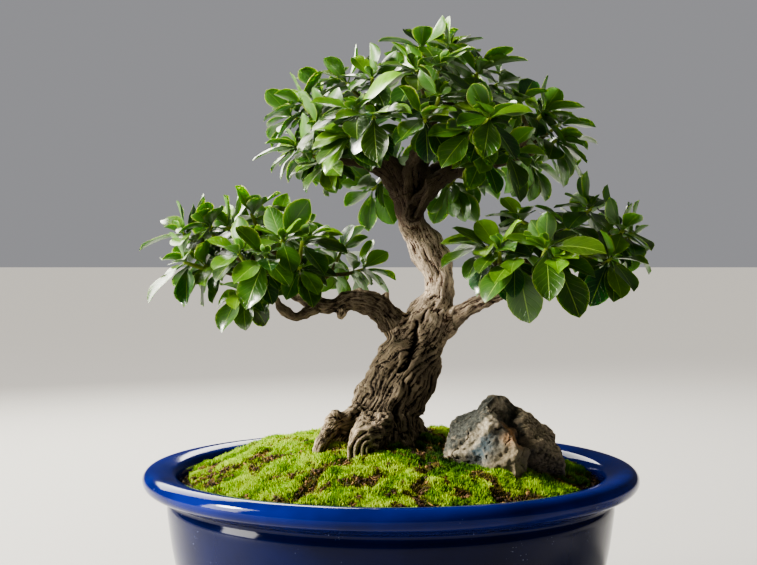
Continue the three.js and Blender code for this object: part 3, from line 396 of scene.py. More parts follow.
# Short dead stubs and knots on the bark: a start inside the wood and a worn end.
KNOTS = [
    [(-30, -29, 146, 4.8), (-33, -31.5, 151.5, 3.8), (-33.4, -32, 154, 1.8)],
    [(-33, -31, 145, 4.6), (-36.4, -34, 149, 3.2), (-38, -35, 149.6, 1.6)],
    [(-6, -4, 214, 5), (-3, -4, 220, 3.4), (-2, -4, 224, 1.2)],
    [(-30, -5, 214, 4.4), (-30, -6, 209, 2.8), (-31, -6, 207, 1.2)],
    [(-18, -6, 219, 5), (-19, -7, 224, 3), (-20, -7, 226, 1)],
    [(-44, -2, 216, 3.4), (-44, -3, 220, 2), (-45, -3, 222, 0.8)],
    [(29, 3, 194, 6), (32, 5, 192, 4.4), (34, 6, 190, 2)],
    [(26, 6, 246, 5), (31, 2, 247, 3.6), (33.5, 1, 247, 1.6)],
]
# The deep hollows down the trunk's front and in its fork, across and up, with the half width at
# each place, and how deep they go and how much their lips swell.
HOLLOWS = [
    [(15.7, 206, 0.8), (14.8, 199, 1.8), (13.8, 193, 2.6), (11.8, 186.5, 2.6), (8.8, 180, 1.8),
     (4, 177, 0.8)],
    [(13.5, 270, 0.8), (15.8, 278, 2.2), (16.5, 286, 3), (16, 296, 3)],
]
HOLLOW_DEPTH = {"deep": 3.4, "lip": 1.1}
# The hollows are cut on faces that look this far to the front, and their lips stand aside.
HOLLOW_FRONT = (0.1, 0.5)
HOLLOW_LIP = {"aside": 2.1, "width": 0.7}
# The strands swing round to the left between these heights.
SWING = {"heights": (174, 198), "turn": 0.75}

# ---------------------------------------------------------------- the leafy sprays, in mm
# Name, limb, seat, and for each shoot its bud and the tips of the leaves that are plain to see.

SPRAYS = [
    ["crown_front_left", "crown_left", [-8, -22, 309], [
        [[-20, -62, 327], [[6, -62, 349], [-46, -64, 332], [-27, -70, 334], [-45, -64, 316]]],
        [[-10, -68, 324], [[11, -82, 324], [-8, -79, 297]]], [[-24, -58, 314], [[-41, -69, 297]]]]],
    ["crown_left", "crown_left", [-31, -4, 319], [
        [[-54, 0, 339], [[-78, -1, 328], [-68, 14, 347]]], [[-44, -30, 321], [[-52, -44, 306]]]]],
    ["crown_left_low", "crown_left_low", [-40, -15, 304], [
        [[-56, -20, 311], [[-82, -28, 302], [-66, -20, 291], [-72, -15, 296]]],
        [[-38, -34, 300], [[-49, -44, 284], [-37, -24, 281], [-32, -38, 282]]]]],
    ["crown_left_back", "crown_left", [-27, 10, 322], [
        [[-64, 34, 335], [[-79, 48, 329]]], [[-54, 44, 314], []], [[-43, 32, 350], []]]],
    ["crown_upper_left", "crown_left", [-11, 2, 326], [
        [[-27, 4, 352], [[-21, 5, 376], [-45, 13, 360], [-45, -7, 348]]],
        [[-11, -20, 352], [[-24, -34, 342]]]]],
    ["crown_top", "crown_middle", [28, 3, 350], [
        [[18, 0, 373], [[32, 2, 393], [-8, 0, 377]]], [[37, 6, 373], [[50, 17, 383], [24, 20, 380]]]]],
    ["crown_top_right", "crown_middle", [39, 4, 338], [
        [[53, -2, 358], [[73, -16, 371], [84, -2, 365], [33, -16, 373]]], [[69, 20, 354], [[88, 34, 356]]]]],
    ["crown_front_centre", "crown_middle", [21, -6, 331], [
        [[15, -30, 355], [[-3, -42, 348], [9, -42, 341], [26, -46, 361]]],
        [[29, -34, 357], [[22, -46, 349], [38, -49, 360]]]]],
    ["crown_front_middle", "crown_front", [19, -50, 312], [
        [[18, -74, 322], [[5, -90, 309], [26, -94, 326]]], [[27, -62, 336], [[19, -80, 333]]]]],
    ["crown_front_right", "crown_right", [42, -22, 306], [
        [[54, -80, 322], [[49, -96, 298], [35, -92, 316], [34, -64, 330], [44, -90, 326], [67, -96, 328]]],
        [[44, -76, 315], [[27, -84, 294]]]]],
    ["crown_right_front", "crown_right", [58, -16, 302], [
        [[66, -56, 304], [[72, -68, 283], [66, -40, 282], [79, -74, 317]]],
        [[52, -50, 303], [[44, -60, 284]]]]],
    ["crown_right", "crown_right", [80, -4, 314], [
        [[92, -14, 332], [[95, -10, 355], [83, -4, 349], [114, -32, 333], [93, -31, 322]]],
        [[75, -28, 336], [[66, -46, 340]]]]],
    ["crown_far_right", "crown_right", [83, 8, 308], [
        [[102, 2, 317], [[128, 7, 315], [119, -9, 302], [116, -8, 291], [110, 14, 294]]]]],
    ["crown_right_back", "crown_right", [68, 18, 307], [
        [[93, 40, 304], [[101, 50, 281]]], [[110, 40, 331], []]]],
    ["crown_back_left", "crown_back_left", [-8, 58, 315], [
        [[-28, 76, 333], []], [[-9, 74, 352], []], [[-40, 66, 316], []]]],
    ["crown_back_low", "crown_back_left", [0, 52, 301], [
        [[-12, 62, 289], [[-14, 66, 262], [-30, 73, 279]]], [[6, 82, 311], []]]],
    ["crown_back_right", "crown_back_right", [62, 65, 321], [
        [[83, 80, 336], []], [[61, 84, 349], []], [[90, 70, 316], []]]],
    ["crown_back_right_low", "crown_back_right", [42, 53, 304], [
        [[38, 60, 291], [[58, 60, 268], [43, 54, 271], [29, 61, 267]]], [[58, 76, 298], [[74, 87, 284]]]]],
    ["crown_back_top", "crown_middle", [25, 22, 338], [
        [[14, 48, 364], []], [[38, 58, 361], []], [[28, 36, 376], []]]],
    ["left_tip", "left", [-92, 3, 243], [
        [[-126, -8, 259], [[-115, 2, 284], [-152, -13, 249]]],
        [[-111, -4, 264], [[-127, -21, 259], [-114, 7, 275]]]]],
    ["left_tip_low", "left", [-87, -5, 234], [
        [[-112, -18, 240], [[-134, -34, 239], [-123, -26, 215], [-113, -14, 215]]],
        [[-123, -26, 242], [[-142, -38, 218]]]]],
    ["left_front", "left_low", [-74, -20, 229], [
        [[-72, -48, 245], [[-83, -58, 215]]], [[-89, -40, 247], [[-101, -52, 231], [-96, -58, 251]]],
        [[-89, -30, 224], [[-99, -40, 201], [-75, -18, 204]]]]],
    ["left_centre", "left", [-55, -10, 226], [
        [[-64, -40, 255], [[-94, -44, 246], [-57, -56, 236], [-48, -32, 279], [-52, -47, 267]]],
        [[-52, -38, 254], [[-25, -44, 247]]], [[-53, -42, 239], [[-45, -53, 216]]]]],
    ["left_upper", "left", [-67, 1, 239], [
        [[-86, 6, 272], [[-82, -8, 283], [-68, 12, 285]]],
        [[-101, 4, 264], [[-107, -11, 272], [-103, 19, 277]]]]],
    ["left_tip_back", "left", [-86, 12, 243], [
        [[-115, 26, 252], []], [[-102, 40, 257], []]]],
    ["left_right_back", "left", [-50, 9, 226], [
        [[-32, 44, 248], [[-16, 50, 265], [-20, 30, 241]]],
        [[-17, 38, 237], [[4, 42, 230], [-12, 30, 227]]]]],
    ["left_back", "left", [-71, 14, 236], [
        [[-88, 54, 259], []], [[-64, 50, 260], []], [[-73, 30, 267], []]]],
    ["right_front_left", "right", [66, -29, 229], [
        [[54, -56, 251], [[28, -47, 253], [28, -65, 239], [42, -67, 232]]],
        [[61, -64, 249], [[48, -76, 236]]], [[70, -72, 244], [[51, -84, 220], [77, -74, 208]]]]],
    ["right_front", "right", [81, -36, 233], [
        [[85, -82, 250], [[85, -96, 221], [115, -100, 247], [73, -90, 255]]],
        [[90, -80, 244], [[102, -96, 212]]]]],
    ["right_upper", "right", [95, -30, 248], [
        [[116, -44, 273], [[99, -54, 281], [95, -36, 274]]], [[104, -50, 263], [[91, -63, 259]]],
        [[75, -34, 267], [[81, -48, 274], [63, -49, 262]]]]],
    ["right_tip", "right", [123, -31, 250], [
        [[132, -56, 260], [[125, -44, 287], [138, -72, 269]]], [[141, -38, 257], []]]],
    ["right_tip_low", "right", [117, -41, 240], [
        [[123, -68, 244], [[123, -78, 220], [133, -84, 226], [119, -60, 222]]]]],
    ["right_back", "right", [109, -20, 246], [
        [[133, 14, 258], []], [[118, 20, 267], []]]],
    ["right_back_left", "right", [84, -16, 238], [
        [[81, 18, 257], []], [[62, -6, 255], [[47, -18, 249]]]]],
]

# Across and up from the axis, and how far the corner's rounding reaches, all in mm.
POT_PROFILE = [
    (DRAIN_RADIUS, FLOOR_HEIGHT, 1), (DRAIN_RADIUS, FLOOR_UNDERSIDE, 1),
    (FOOT_INSIDE_RADIUS, FLOOR_UNDERSIDE, 1.5), (FOOT_INSIDE_RADIUS, 0, 1.5), (FOOT_RADIUS, 0, 2),
    (106, 12, 9), (121.5, 30, 17), (132, 62, 19), (136.3, 96, 4), (134, 101.5, 3),
    (141.5, 104.2, 4), (149, 107, 4), (151.2, 112.4, 4), (148, 117.6, 4), (141, 118.4, 6),
    (MOUTH_RADIUS, 115.4, 3), (WALL_INSIDE_RADIUS, 107, 5), (124.3, 64, 20), (111, 24, 10),
    (FOOT_INSIDE_RADIUS + 2, FLOOR_HEIGHT, 4),
]

# ---------------------------------------------------------------- settings that a user may change


def linear(code):
    """A hex sRGB colour as linear red, green and blue."""
    shares = [((code >> shift) & 255) / 255 for shift in (16, 8, 0)]
    return [s / 12.92 if s <= 0.04045 else ((s + 0.055) / 1.055) ** 2.4 for s in shares]


def colour(name, description, code):
    """A colour property whose default is a hex sRGB colour."""
    return FloatVectorProperty(
        name=name, description=description, default=linear(code),
        size=3, min=0, max=1, subtype="COLOR",
    )


def length(name, description, size):
    """A length property whose default is in millimetres."""
    return FloatProperty(
        name=name, description=description, default=size * MM,
        min=0, subtype="DISTANCE", unit="LENGTH",
    )


class BonsaiPotSettings(bpy.types.PropertyGroup):
    """The glazed pot."""

    rim_radius: length("Rim radius", "Outer radius of the rolled rim", RIM_RADIUS)
    glaze: colour("Glaze", "Cobalt glaze where it lies thin", 0x0D1F76)
    # Also painted shade on the body below the lip.
    glaze_deep: colour("Deep glaze", "Cobalt glaze where it has pooled", 0x020722)
    speckle: colour("Speckle", "Pale specks in the glaze", 0xB8C6EE)
    clay: colour("Clay", "Bare clay under the foot ring", 0xA67650)


class BonsaiGroundSettings(bpy.types.PropertyGroup):
    """The soil, the moss and the rock."""

    soil: colour("Soil", "Damp potting soil", 0x2B1E15)
    straw: colour("Straw", "Dry bits on the soil and in the moss", 0x94733F)
    moss_bright: colour("Bright moss", "Tips of fresh moss shoots", 0xDAF066)
    # Also painted shade between the shoots.
    moss_dark: colour("Dark moss", "Moss between the shoots", 0x203408)
    stone: colour("Stone", "Weathered faces of the rock", 0x424139)
    stone_pale: colour("Pale stone", "Broken edges and lower faces of the rock", 0x98896F)
    shoot_height: length("Moss height", "Height of a moss shoot", 2.9)
    shoot_area: FloatProperty(
        name="Moss spacing", description="Square millimetres of moss for each shoot",
        default=0.34, min=0.1,
    )


class BonsaiTreeSettings(bpy.types.PropertyGroup):
    """The wood and the leaves."""

    bark_old: colour("Old bark", "Ridges of the old bark", 0xC8B496)
    # The cracks' black is partly painted shade.
    bark_crack: colour("Cracks", "Deep cracks in the bark", 0x100C08)
    bark_young: colour("Young bark", "Flaky bark of the upper trunk", 0xFFE8CA)
    leaf_old: colour("Old leaf", "Upper side of a full-grown leaf", 0x103814)
    leaf_young: colour("Young leaf", "Upper side of a new leaf", 0x96C930)
    leaf_under: colour("Underside", "Lower side of a leaf", 0x4C7C20)
    leaf_margin: colour("Margin", "Margin and midrib of a leaf", 0xA4C650)
    leaf_thickness: length("Leaf thickness", "Thickness of a blade", 0.45)
    ridge_depth: length("Ridge depth", "Depth of the furrows in the old bark", 2.8)
    extra_leaves: IntProperty(
        name="Extra leaves", description="Most leaves added on each shoot as the pads fill in",
        default=6, min=0, max=12,
    )


# ---------------------------------------------------------------- meshes


def use_only(obj):
    """Makes this the one selected object."""
    bpy.ops.object.select_all(action="DESELECT")
    obj.select_set(True)
    bpy.context.view_layer.objects.active = obj


def in_edit_mode(obj, *steps):
    """Runs the steps in edit mode with the whole mesh selected before each."""
    use_only(obj)
    bpy.ops.object.mode_set(mode="EDIT")
    for step in steps:
        bpy.ops.mesh.select_all(action="SELECT")
        step()
    bpy.ops.object.mode_set(mode="OBJECT")


def merge_corners():
    bpy.ops.mesh.remove_doubles(threshold=0.01 * MM)


def face_outwards():
    bpy.ops.mesh.normals_make_consistent(inside=False)


def apply_modifier(obj, kind, **settings):
    """Adds a modifier with these settings and applies it."""
    use_only(obj)
    made = obj.modifiers.new(kind, kind)
    for name, value in settings.items():
        setattr(made, name, value)
    bpy.ops.object.modifier_apply(modifier=made.name)


def mesh_from(name, points, edges=(), faces=()):
    """A new object with these corners, in mm, and edges or faces."""
    mesh = bpy.data.meshes.new(name)
    mesh.from_pydata((np.asarray(points, float) * MM).tolist(), edges, faces)
    obj = bpy.data.objects.new(name, mesh)
    bpy.context.collection.objects.link(obj)
    return obj


def added(operator, **settings):
    """The object that an add operator makes."""
    bpy.ops.object.select_all(action="DESELECT")
    operator(**settings)
    return bpy.context.active_object


def corners_of(obj):
    """The corners of a mesh, in mm."""
    places = np.zeros(len(obj.data.vertices) * 3)
    obj.data.vertices.foreach_get("co", places)
    return places.reshape(-1, 3) / MM


def normals_of(obj):
    directions = np.zeros(len(obj.data.vertices) * 3)
    obj.data.vertex_normals.foreach_get("vector", directions)
    return directions.reshape(-1, 3)


def move_corners(obj, points):
    obj.data.vertices.foreach_set("co", (points * MM).ravel())
    obj.data.update()


def neighbour_means(obj, values):
    """For each corner, the mean of the values at the corners it has an edge to."""
    ends = np.zeros(len(obj.data.edges) * 2, int)
    obj.data.edges.foreach_get("vertices", ends)
    first, second = ends.reshape(-1, 2).T
    total = np.zeros_like(values)
    np.add.at(total, first, values[second])
    np.add.at(total, second, values[first])
    return total / np.maximum(np.bincount(ends, minlength=len(values)), 1)[:, None]


def set_attribute(obj, name, values, kind="FLOAT", part="value"):
    """A number or a vector for each corner, or for all corners of each copy in turn, which a
    material reads by its name."""
    values = np.repeat(values, len(obj.data.vertices) // len(values), axis=0)
    made = obj.data.attributes.new(name, kind, "POINT")
    made.data.foreach_set(part, values.astype(np.float32).ravel())


def merged_copy(name, node):
    """A copy of a node of the frame as one closed mesh."""
    obj = bpy.data.objects.new(name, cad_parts[node].data.copy())
    bpy.context.collection.objects.link(obj)
    obj.data.materials.clear()
    in_edit_mode(obj, merge_corners, face_outwards)
    return obj


def smooth_shaded(obj, degrees=180):
    use_only(obj)
    bpy.ops.object.shade_smooth_by_angle(angle=math.radians(degrees))


def joined(first, second):
    """Joins the second piece to the first."""
    use_only(first)
    second.select_set(True)
    bpy.ops.object.join()
    return first


def finished(obj, nodes=()):
    """Seats a piece in the frame and the nodes that it stands for."""
    if nodes:
        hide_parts(*nodes)
    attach(obj, BODY)


def remesh(obj, voxel, smoothings=0):
    """Rebuilds a mesh with even faces, so many mm wide, and smooths it in rounds."""
    apply_modifier(obj, "REMESH", mode="VOXEL", voxel_size=voxel * MM)
    if smoothings:
        apply_modifier(obj, "SMOOTH", factor=0.5, iterations=smoothings)


def primitive_parts(operator, **settings):
    """Corners and faces of a primitive, taken once so that it can be copied many times."""
    obj = added(operator, **settings)
    bpy.ops.object.transform_apply(location=True, rotation=True, scale=True)
    points = corners_of(obj) * MM
    faces = [tuple(face.vertices) for face in obj.data.polygons]
    bpy.data.objects.remove(obj)
    return points, faces


def copies_from(name, points, faces):
    """One mesh of many copies, from the corners of each, in mm, and the faces of the first."""
    count, corners, _ = points.shape
    return mesh_from(name, points.reshape(-1, 3), faces=[
        tuple(corner + copy * corners for corner in face)
        for copy in range(count)
        for face in faces
    ])


def noise_at(points, size, shift=0.0):
    """Smooth noise, from about -0.6 to 0.6, with grains of this size in mm."""
    return np.array([noise.noise(place) for place in (points / size + shift).tolist()])


def layered_noise(points, layers):
    """Smooth noise in layers, each with its height, its grain in mm and a shift."""
    return sum(height * noise_at(points, grain, shift) for height, grain, shift in layers)


def smoothstep(values, low, high):
    share = np.clip((np.asarray(values, float) - low) / (high - low), 0, 1)
    return share * share * (3 - 2 * share)


def ranged(pair, shares):
    """Numbers from the pair's first, with so much of its second on top."""
    return pair[0] + pair[1] * shares


def unit(vectors):
    vectors = np.asarray(vectors, float)
    return vectors / np.linalg.norm(vectors, axis=-1, keepdims=True)


def rounded(corners):
    """A closed outline whose corners are rounded: each is across, up and the rounding's reach."""
    places = np.array([corner[:2] for corner in corners], float)
    outline = []
    for i, (place, corner) in enumerate(zip(places, corners)):
        back = places[i - 1] - place
        ahead = places[(i + 1) % len(places)] - place
        start = place + back * min(corner[2] / np.linalg.norm(back), 0.5)
        end = place + ahead * min(corner[2] / np.linalg.norm(ahead), 0.5)
        for share in np.linspace(0, 1, CORNER_STEPS + 1):
            near_start = start + (place - start) * share
            near_end = place + (end - place) * share
            outline.append(near_start + (near_end - near_start) * share)
    return outline


# ---------------------------------------------------------------- materials


def add_node(tree, kind, inputs=None, output=0, stops=(), **settings):
    """Adds a node, sets it up, sets or links its inputs, and gives one of its outputs.

    Here a Mix node mixes colours, a word as an input stands for the attribute of that name, and
    a colour may be a hex sRGB colour.
    """
    made = tree.nodes.new("ShaderNode" + kind)
    if kind == "Mix":
        made.data_type, output = "RGBA", 2
    for name, value in settings.items():
        setattr(made, name, value)
    for place, (position, code) in enumerate(stops):
        elements = made.color_ramp.elements
        element = elements[place] if place < len(elements) else elements.new(position)
        element.position = position
        element.color = (*linear(code), 1)
    for name, value in (inputs or {}).items():
        socket = made.inputs[name]
        if isinstance(value, str):
            value = add_node(tree, "Attribute", output="Fac", attribute_name=value)
        if isinstance(value, bpy.types.NodeSocket):
            tree.links.new(value, socket)
        elif socket.type == "RGBA":
            socket.default_value = (*(linear(value) if isinstance(value, int) else value), 1)
        else:
            socket.default_value = value
    return made.outputs[output] if made.outputs else made


def material(look, *settings):
    """A material from one of the looks below, which gives the shader of its surface."""
    made = bpy.data.materials.new(look.__name__)
    made.use_nodes = True
    made.node_tree.nodes.clear()
    node = partial(add_node, made.node_tree)
    shader = look(node, node("TexCoord", output="Object"), *settings)
    node("OutputMaterial", {"Surface": shader})
    return made


def grains(places, size, **settings):
    """The inputs of a texture with grains of this size, in mm."""
    return {"Vector": places, "Scale": 1 / (size * MM), **settings}


def spot(node, places, centre, reach, full, strength):
    """A share that grows from 0 at its reach to its strength near the centre, all in mm."""
    apart = node("VectorMath", {0: places, 1: [value * MM for value in centre]}, "Value",
                 operation="DISTANCE")
    return node("MapRange", {0: apart, 1: reach * MM, 2: full * MM, 4: strength})


def cobalt_glaze(node, places, pot):
    # Stoneware dipped in a cobalt glaze and fired: glassy, nearly black below the lip, partly
    # where the glaze has pooled on the wall and under the lip and partly as painted shade,
    # with drifts of pale specks. Bare clay shows only under the foot ring.
    height = node("SeparateXYZ", {0: places}, "Z")
    cloud = node("TexNoise", grains(places, 40, Detail=3.0, Roughness=0.5))
    thin = node("Math", {
        0: node("MapRange", {0: cloud, 1: 0.3, 2: 0.75, 3: 0.35, 4: 1.0}),
        # Darker below the lip: partly pooled glaze, partly painted shade.
        1: node("MapRange", {0: height, 1: 98 * MM, 2: 112 * MM, 3: 0.22, 4: 1.0}),
    }, operation="MULTIPLY")
    body = node("Mix", {0: thin, 6: pot.glaze_deep, 7: pot.glaze})
    drifts = node("TexNoise", grains(places, 16, Detail=3.0))
    cells = node("TexVoronoi", grains(places, 2.0))
    specks = node("Math", {
        0: node("MapRange", {0: cells, 1: 0.2, 2: 0.08}),
        1: node("MapRange", {0: drifts, 1: 0.6, 2: 0.74, 4: 0.5}),
    }, operation="MULTIPLY")
    speckled = node("Mix", {0: specks, 6: body, 7: pot.speckle})
    bare = node("MapRange", {0: height, 1: 1.6 * MM, 2: 1.0 * MM})
    ripples = node("TexNoise", grains(places, 14, Detail=1.0))
    return node("BsdfPrincipled", {
        "Base Color": node("Mix", {0: bare, 6: speckled, 7: pot.clay}),
        "Roughness": node("MapRange", {0: bare, 3: 0.09, 4: 0.85}),
        "IOR": 1.36,
        "Specular IOR Level": 0.36,
        "Normal": node("Bump", {"Height": ripples, "Distance": 0.4 * MM, "Strength": 0.12}),
    })


def moulded_mesh(node, places):
    # Injection-moulded polypropylene: black, matt and faintly grained.
    fine = node("TexNoise", grains(places, 0.6))
    return node("BsdfPrincipled", {
        "Base Color": node("ValToRGB", {0: fine}, stops=[(0.3, 0x121212), (0.7, 0x2C2C2A)]),
        "Roughness": 0.6,
        "Normal": node("Bump", {"Height": fine, "Distance": 0.06 * MM, "Strength": 0.5}),
    })


def potting_soil(node, places, ground):
    # Damp sieved potting soil: dark crumbs of 1 to 2 mm with a few straw-coloured bits.
    cells = grains(places, 1.7)
    tone = node("SeparateColor", {0: node("TexVoronoi", cells, "Color")})
    earth = node("Mix", {0: tone, 6: ground.soil, 7: 0x553D2A})
    dry = node("MapRange", {0: tone, 1: 0.9, 2: 0.95})
    return node("BsdfPrincipled", {
        "Base Color": node("Mix", {0: dry, 6: earth, 7: ground.straw}),
        "Roughness": 0.9,
        "Normal": node("Bump", {"Height": node("TexVoronoi", cells), "Distance": 0.9 * MM}),
    })


def loose_crumbs(node, places, ground):
    # Crumbs of earth, bark and dry moss, each with a tone of its own from black to straw.
    earth = node("Mix", {0: "tone", 6: ground.soil, 7: 0x6E5238})
    dry = node("MapRange", {0: "tone", 1: 0.72, 2: 0.88})
    fine = node("TexNoise", grains(places, 0.7))
    return node("BsdfPrincipled", {
        "Base Color": node("Mix", {0: dry, 6: earth, 7: ground.straw}),
        "Roughness": 0.92,
        "Normal": node("Bump", {"Height": fine, "Distance": 0.25 * MM, "Strength": 0.8}),
    })


def cushion_moss(node, places, ground):
    # Cushion moss: a velvet of upright shoots, yellow-green at their tips where the moss is
    # fresh, darker with painted shade between trunk and rock, brown where it has dried, and
    # nearly black between them, partly as older moss and partly as painted shade.
    clumps = node("TexNoise", grains(places, 19, Detail=5.0, Roughness=0.65))
    # Painted light and shade: the moss is fresher on the left and duller towards the right.
    aside = node("MapRange", {
        0: node("SeparateXYZ", {0: places}, "X"), 1: 40 * MM, 2: 110 * MM, 3: 0.08, 4: -0.06,
    })
    varied = node("Math", {0: clumps, 1: aside}, operation="ADD")
    patched = node("MapRange", {0: varied, 1: 0.3, 2: 0.7, 3: 0.22, 4: 0.74})
    # Painted shade on the moss between the trunk and the rock.
    shaded = spot(node, places, **MOSS_PAINTED_SHADE)
    mixed = node("Math", {0: patched, 1: shaded}, operation="ADD")
    fresh = node("Math", {0: "tone", 1: 0.24, 2: mixed}, operation="MULTIPLY_ADD")
    green = node("ValToRGB", {0: fresh}, stops=[
        (0.15, 0x1E3E0C), (0.42, 0x4F8013), (0.6, 0x8CBE22), (0.78, 0xC2E63C),
    ])
    lively = node("Mix", {
        0: node("MapRange", {0: fresh, 1: 0.6, 2: 0.95}), 6: green, 7: ground.moss_bright,
    })
    dry = node("Math", {0: "dry", 1: 0.85}, operation="MULTIPLY")
    dried = node("Mix", {0: dry, 6: lively, 7: ground.straw})
    # Darker down the shoots and on the mat between them: partly older moss, partly painted shade.
    lit = node("MapRange", {0: "tip", 1: 0.0, 2: 0.9})
    return node("BsdfPrincipled", {
        "Base Color": node("Mix", {0: lit, 6: ground.moss_dark, 7: dried}),
        "Roughness": 0.8,
        "Specular IOR Level": 0.25,
    })


def broken_limestone(node, places, ground):
    # Weathered limestone, broken rough: grey and tan on its face, with rusty stains, a blue-grey
    # patch and a cream vein, dark with lichen on top, and brown with iron on its right side. Its
    # hollows and creases are darkened as painted shade.
    speckle = node("TexNoise", grains(places, 1.7, Detail=5.0, Roughness=0.75))
    cloud = node("TexNoise", grains(places, 8, Detail=5.0, Roughness=0.65))
    grit = node("MapRange", {0: speckle, 1: 0.42, 2: 0.64})
    patchy = node("MapRange", {0: cloud, 1: 0.4, 2: 0.66})
    broken = node("Mix", {0: patchy, 6: ground.stone, 7: ground.stone_pale})
    shade = node("Mix", {0: grit, 6: ground.stone, 7: broken})
    for centre, reach, strength, code in ROCK_STAINS:
        near = spot(node, places, centre, reach * 1.6, reach * 0.5, strength)
        blotch = node("Math", {0: near, 1: node("MapRange", {0: patchy, 3: 0.4})}, operation="MULTIPLY")
        shade = node("Mix", {0: blotch, 6: shade, 7: code})
    for name, fine_code, coarse_code in ROCK_ZONES:
        stone = node("Mix", {0: grit, 6: fine_code, 7: coarse_code})
        shade = node("Mix", {0: name, 6: shade, 7: stone})
    edge = node("Math", {0: "edge", 1: 0.45}, operation="MULTIPLY")
    worn = node("Mix", {0: edge, 6: shade, 7: ground.stone_pale})
    # Painted shade: hollows and creases darken towards near black.
    hollow = node("Math", {0: "hollow", 1: 0.7}, operation="MULTIPLY")
    coarse = node("Bump", {"Height": speckle, "Distance": 0.7 * MM, "Strength": 0.9})
    fine = node("TexNoise", grains(places, 0.7, Detail=3.0))
    return node("BsdfPrincipled", {
        "Base Color": node("Mix", {0: hollow, 6: worn, 7: 0x221F1A}),
        "Roughness": 0.85,
        "Normal": node("Bump", {"Height": fine, "Distance": 0.3 * MM, "Strength": 0.7, "Normal": coarse}),
    })


def furrowed_bark(node, places, tree):
    # Living bark: worn tan ridges between black cracks on old wood, flaky and pinkish tan on
    # younger wood, with green dust where it meets the moss. The black in cracks and hollows is
    # partly the bark's own and partly painted shade.
    height = node("SeparateXYZ", {0: places}, "Z")
    fine = node("TexNoise", grains(places, 1.4, Detail=5.0, Roughness=0.7))
    cloud = node("TexNoise", grains(places, 11, Detail=4.0, Roughness=0.6))
    tint = node("MapRange", {0: cloud, 1: 0.36, 2: 0.64})
    flow = node("Attribute", {}, "Vector", attribute_name="flow")
    fibres = node("TexNoise", {"Vector": flow, "Scale": 0.55, "Detail": 3.0, "Roughness": 0.6})
    apart = node("Math", {0: node("Math", {0: fibres, 1: 0.5}, operation="SUBTRACT")}, operation="ABSOLUTE")
    strips = node("MapRange", {0: apart, 2: 0.07})
    streaked = node("Math", {0: strips, 1: 0.34, 2: "crest"}, operation="MULTIPLY_ADD")
    lifted = node("Math", {0: fine, 1: 0.24, 2: streaked}, operation="MULTIPLY_ADD")
    flank = node("Mix", {0: "young", 6: 0x52463A, 7: 0x6A4E3E})
    ridge = node("Mix", {0: "young", 6: tree.bark_old, 7: tree.bark_young})
    grey = node("Mix", {0: node("Math", {0: tint, 1: 0.5}, operation="MULTIPLY"), 6: ridge,
                        7: 0x5E5548})
    raised = node("MapRange", {0: lifted, 1: 0.7, 2: 1.0})
    # Painted shade: the bark turns this dark brown at the fork and on the trunk's right side, and partly so
    # on the limbs.
    shaded = node("Mix", {0: "shade", 6: grey, 7: 0x4A3F30})
    weathered = node("Mix", {0: raised, 6: flank, 7: shaded})
    damp = node("Math", {
        0: node("MapRange", {0: height, 1: 156 * MM, 2: 134 * MM, 4: 0.6}),
        1: node("MapRange", {0: cloud, 1: 0.48, 2: 0.6}),
    }, operation="MULTIPLY")
    dusty = node("Mix", {0: damp, 6: weathered, 7: 0x5E6430})
    # Black in cracks and hollows: partly the bark's own colour, partly painted shade.
    out_of_cracks_and_painted_shade = node("MapRange", {0: lifted, 1: 0.5, 2: 0.68})
    combed = node("Bump", {"Height": strips, "Distance": 0.8 * MM, "Strength": 1.0})
    coarse = node("Bump", {"Height": fine, "Distance": 1.2 * MM, "Strength": 1.0, "Normal": combed})
    grain = node("TexNoise", grains(places, 0.6, Detail=3.0))
    return node("BsdfPrincipled", {
        "Base Color": node("Mix", {0: out_of_cracks_and_painted_shade, 6: tree.bark_crack, 7: dusty}),
        "Roughness": 0.85,
        "Specular IOR Level": 0.25,
        "Normal": node("Bump", {"Height": grain, "Distance": 0.25 * MM, "Strength": 0.7, "Normal": coarse}),
    })


def green_twig(node, places):
    # Twigs of the last two years: smooth thin bark, brown at the root and green at the bud.
    mottle = node("TexNoise", grains(places, 1.4, Detail=3.0))
    brown = node("ValToRGB", {0: mottle}, stops=[(0.35, 0x3F3420), (0.65, 0x6A5A34)])
    return node("BsdfPrincipled", {
        "Base Color": node("Mix", {0: "youth", 6: brown, 7: 0x8FA63C}),
        "Roughness": 0.55,
        "Normal": node("Bump", {"Height": mottle, "Distance": 0.2 * MM, "Strength": 0.6}),
    })


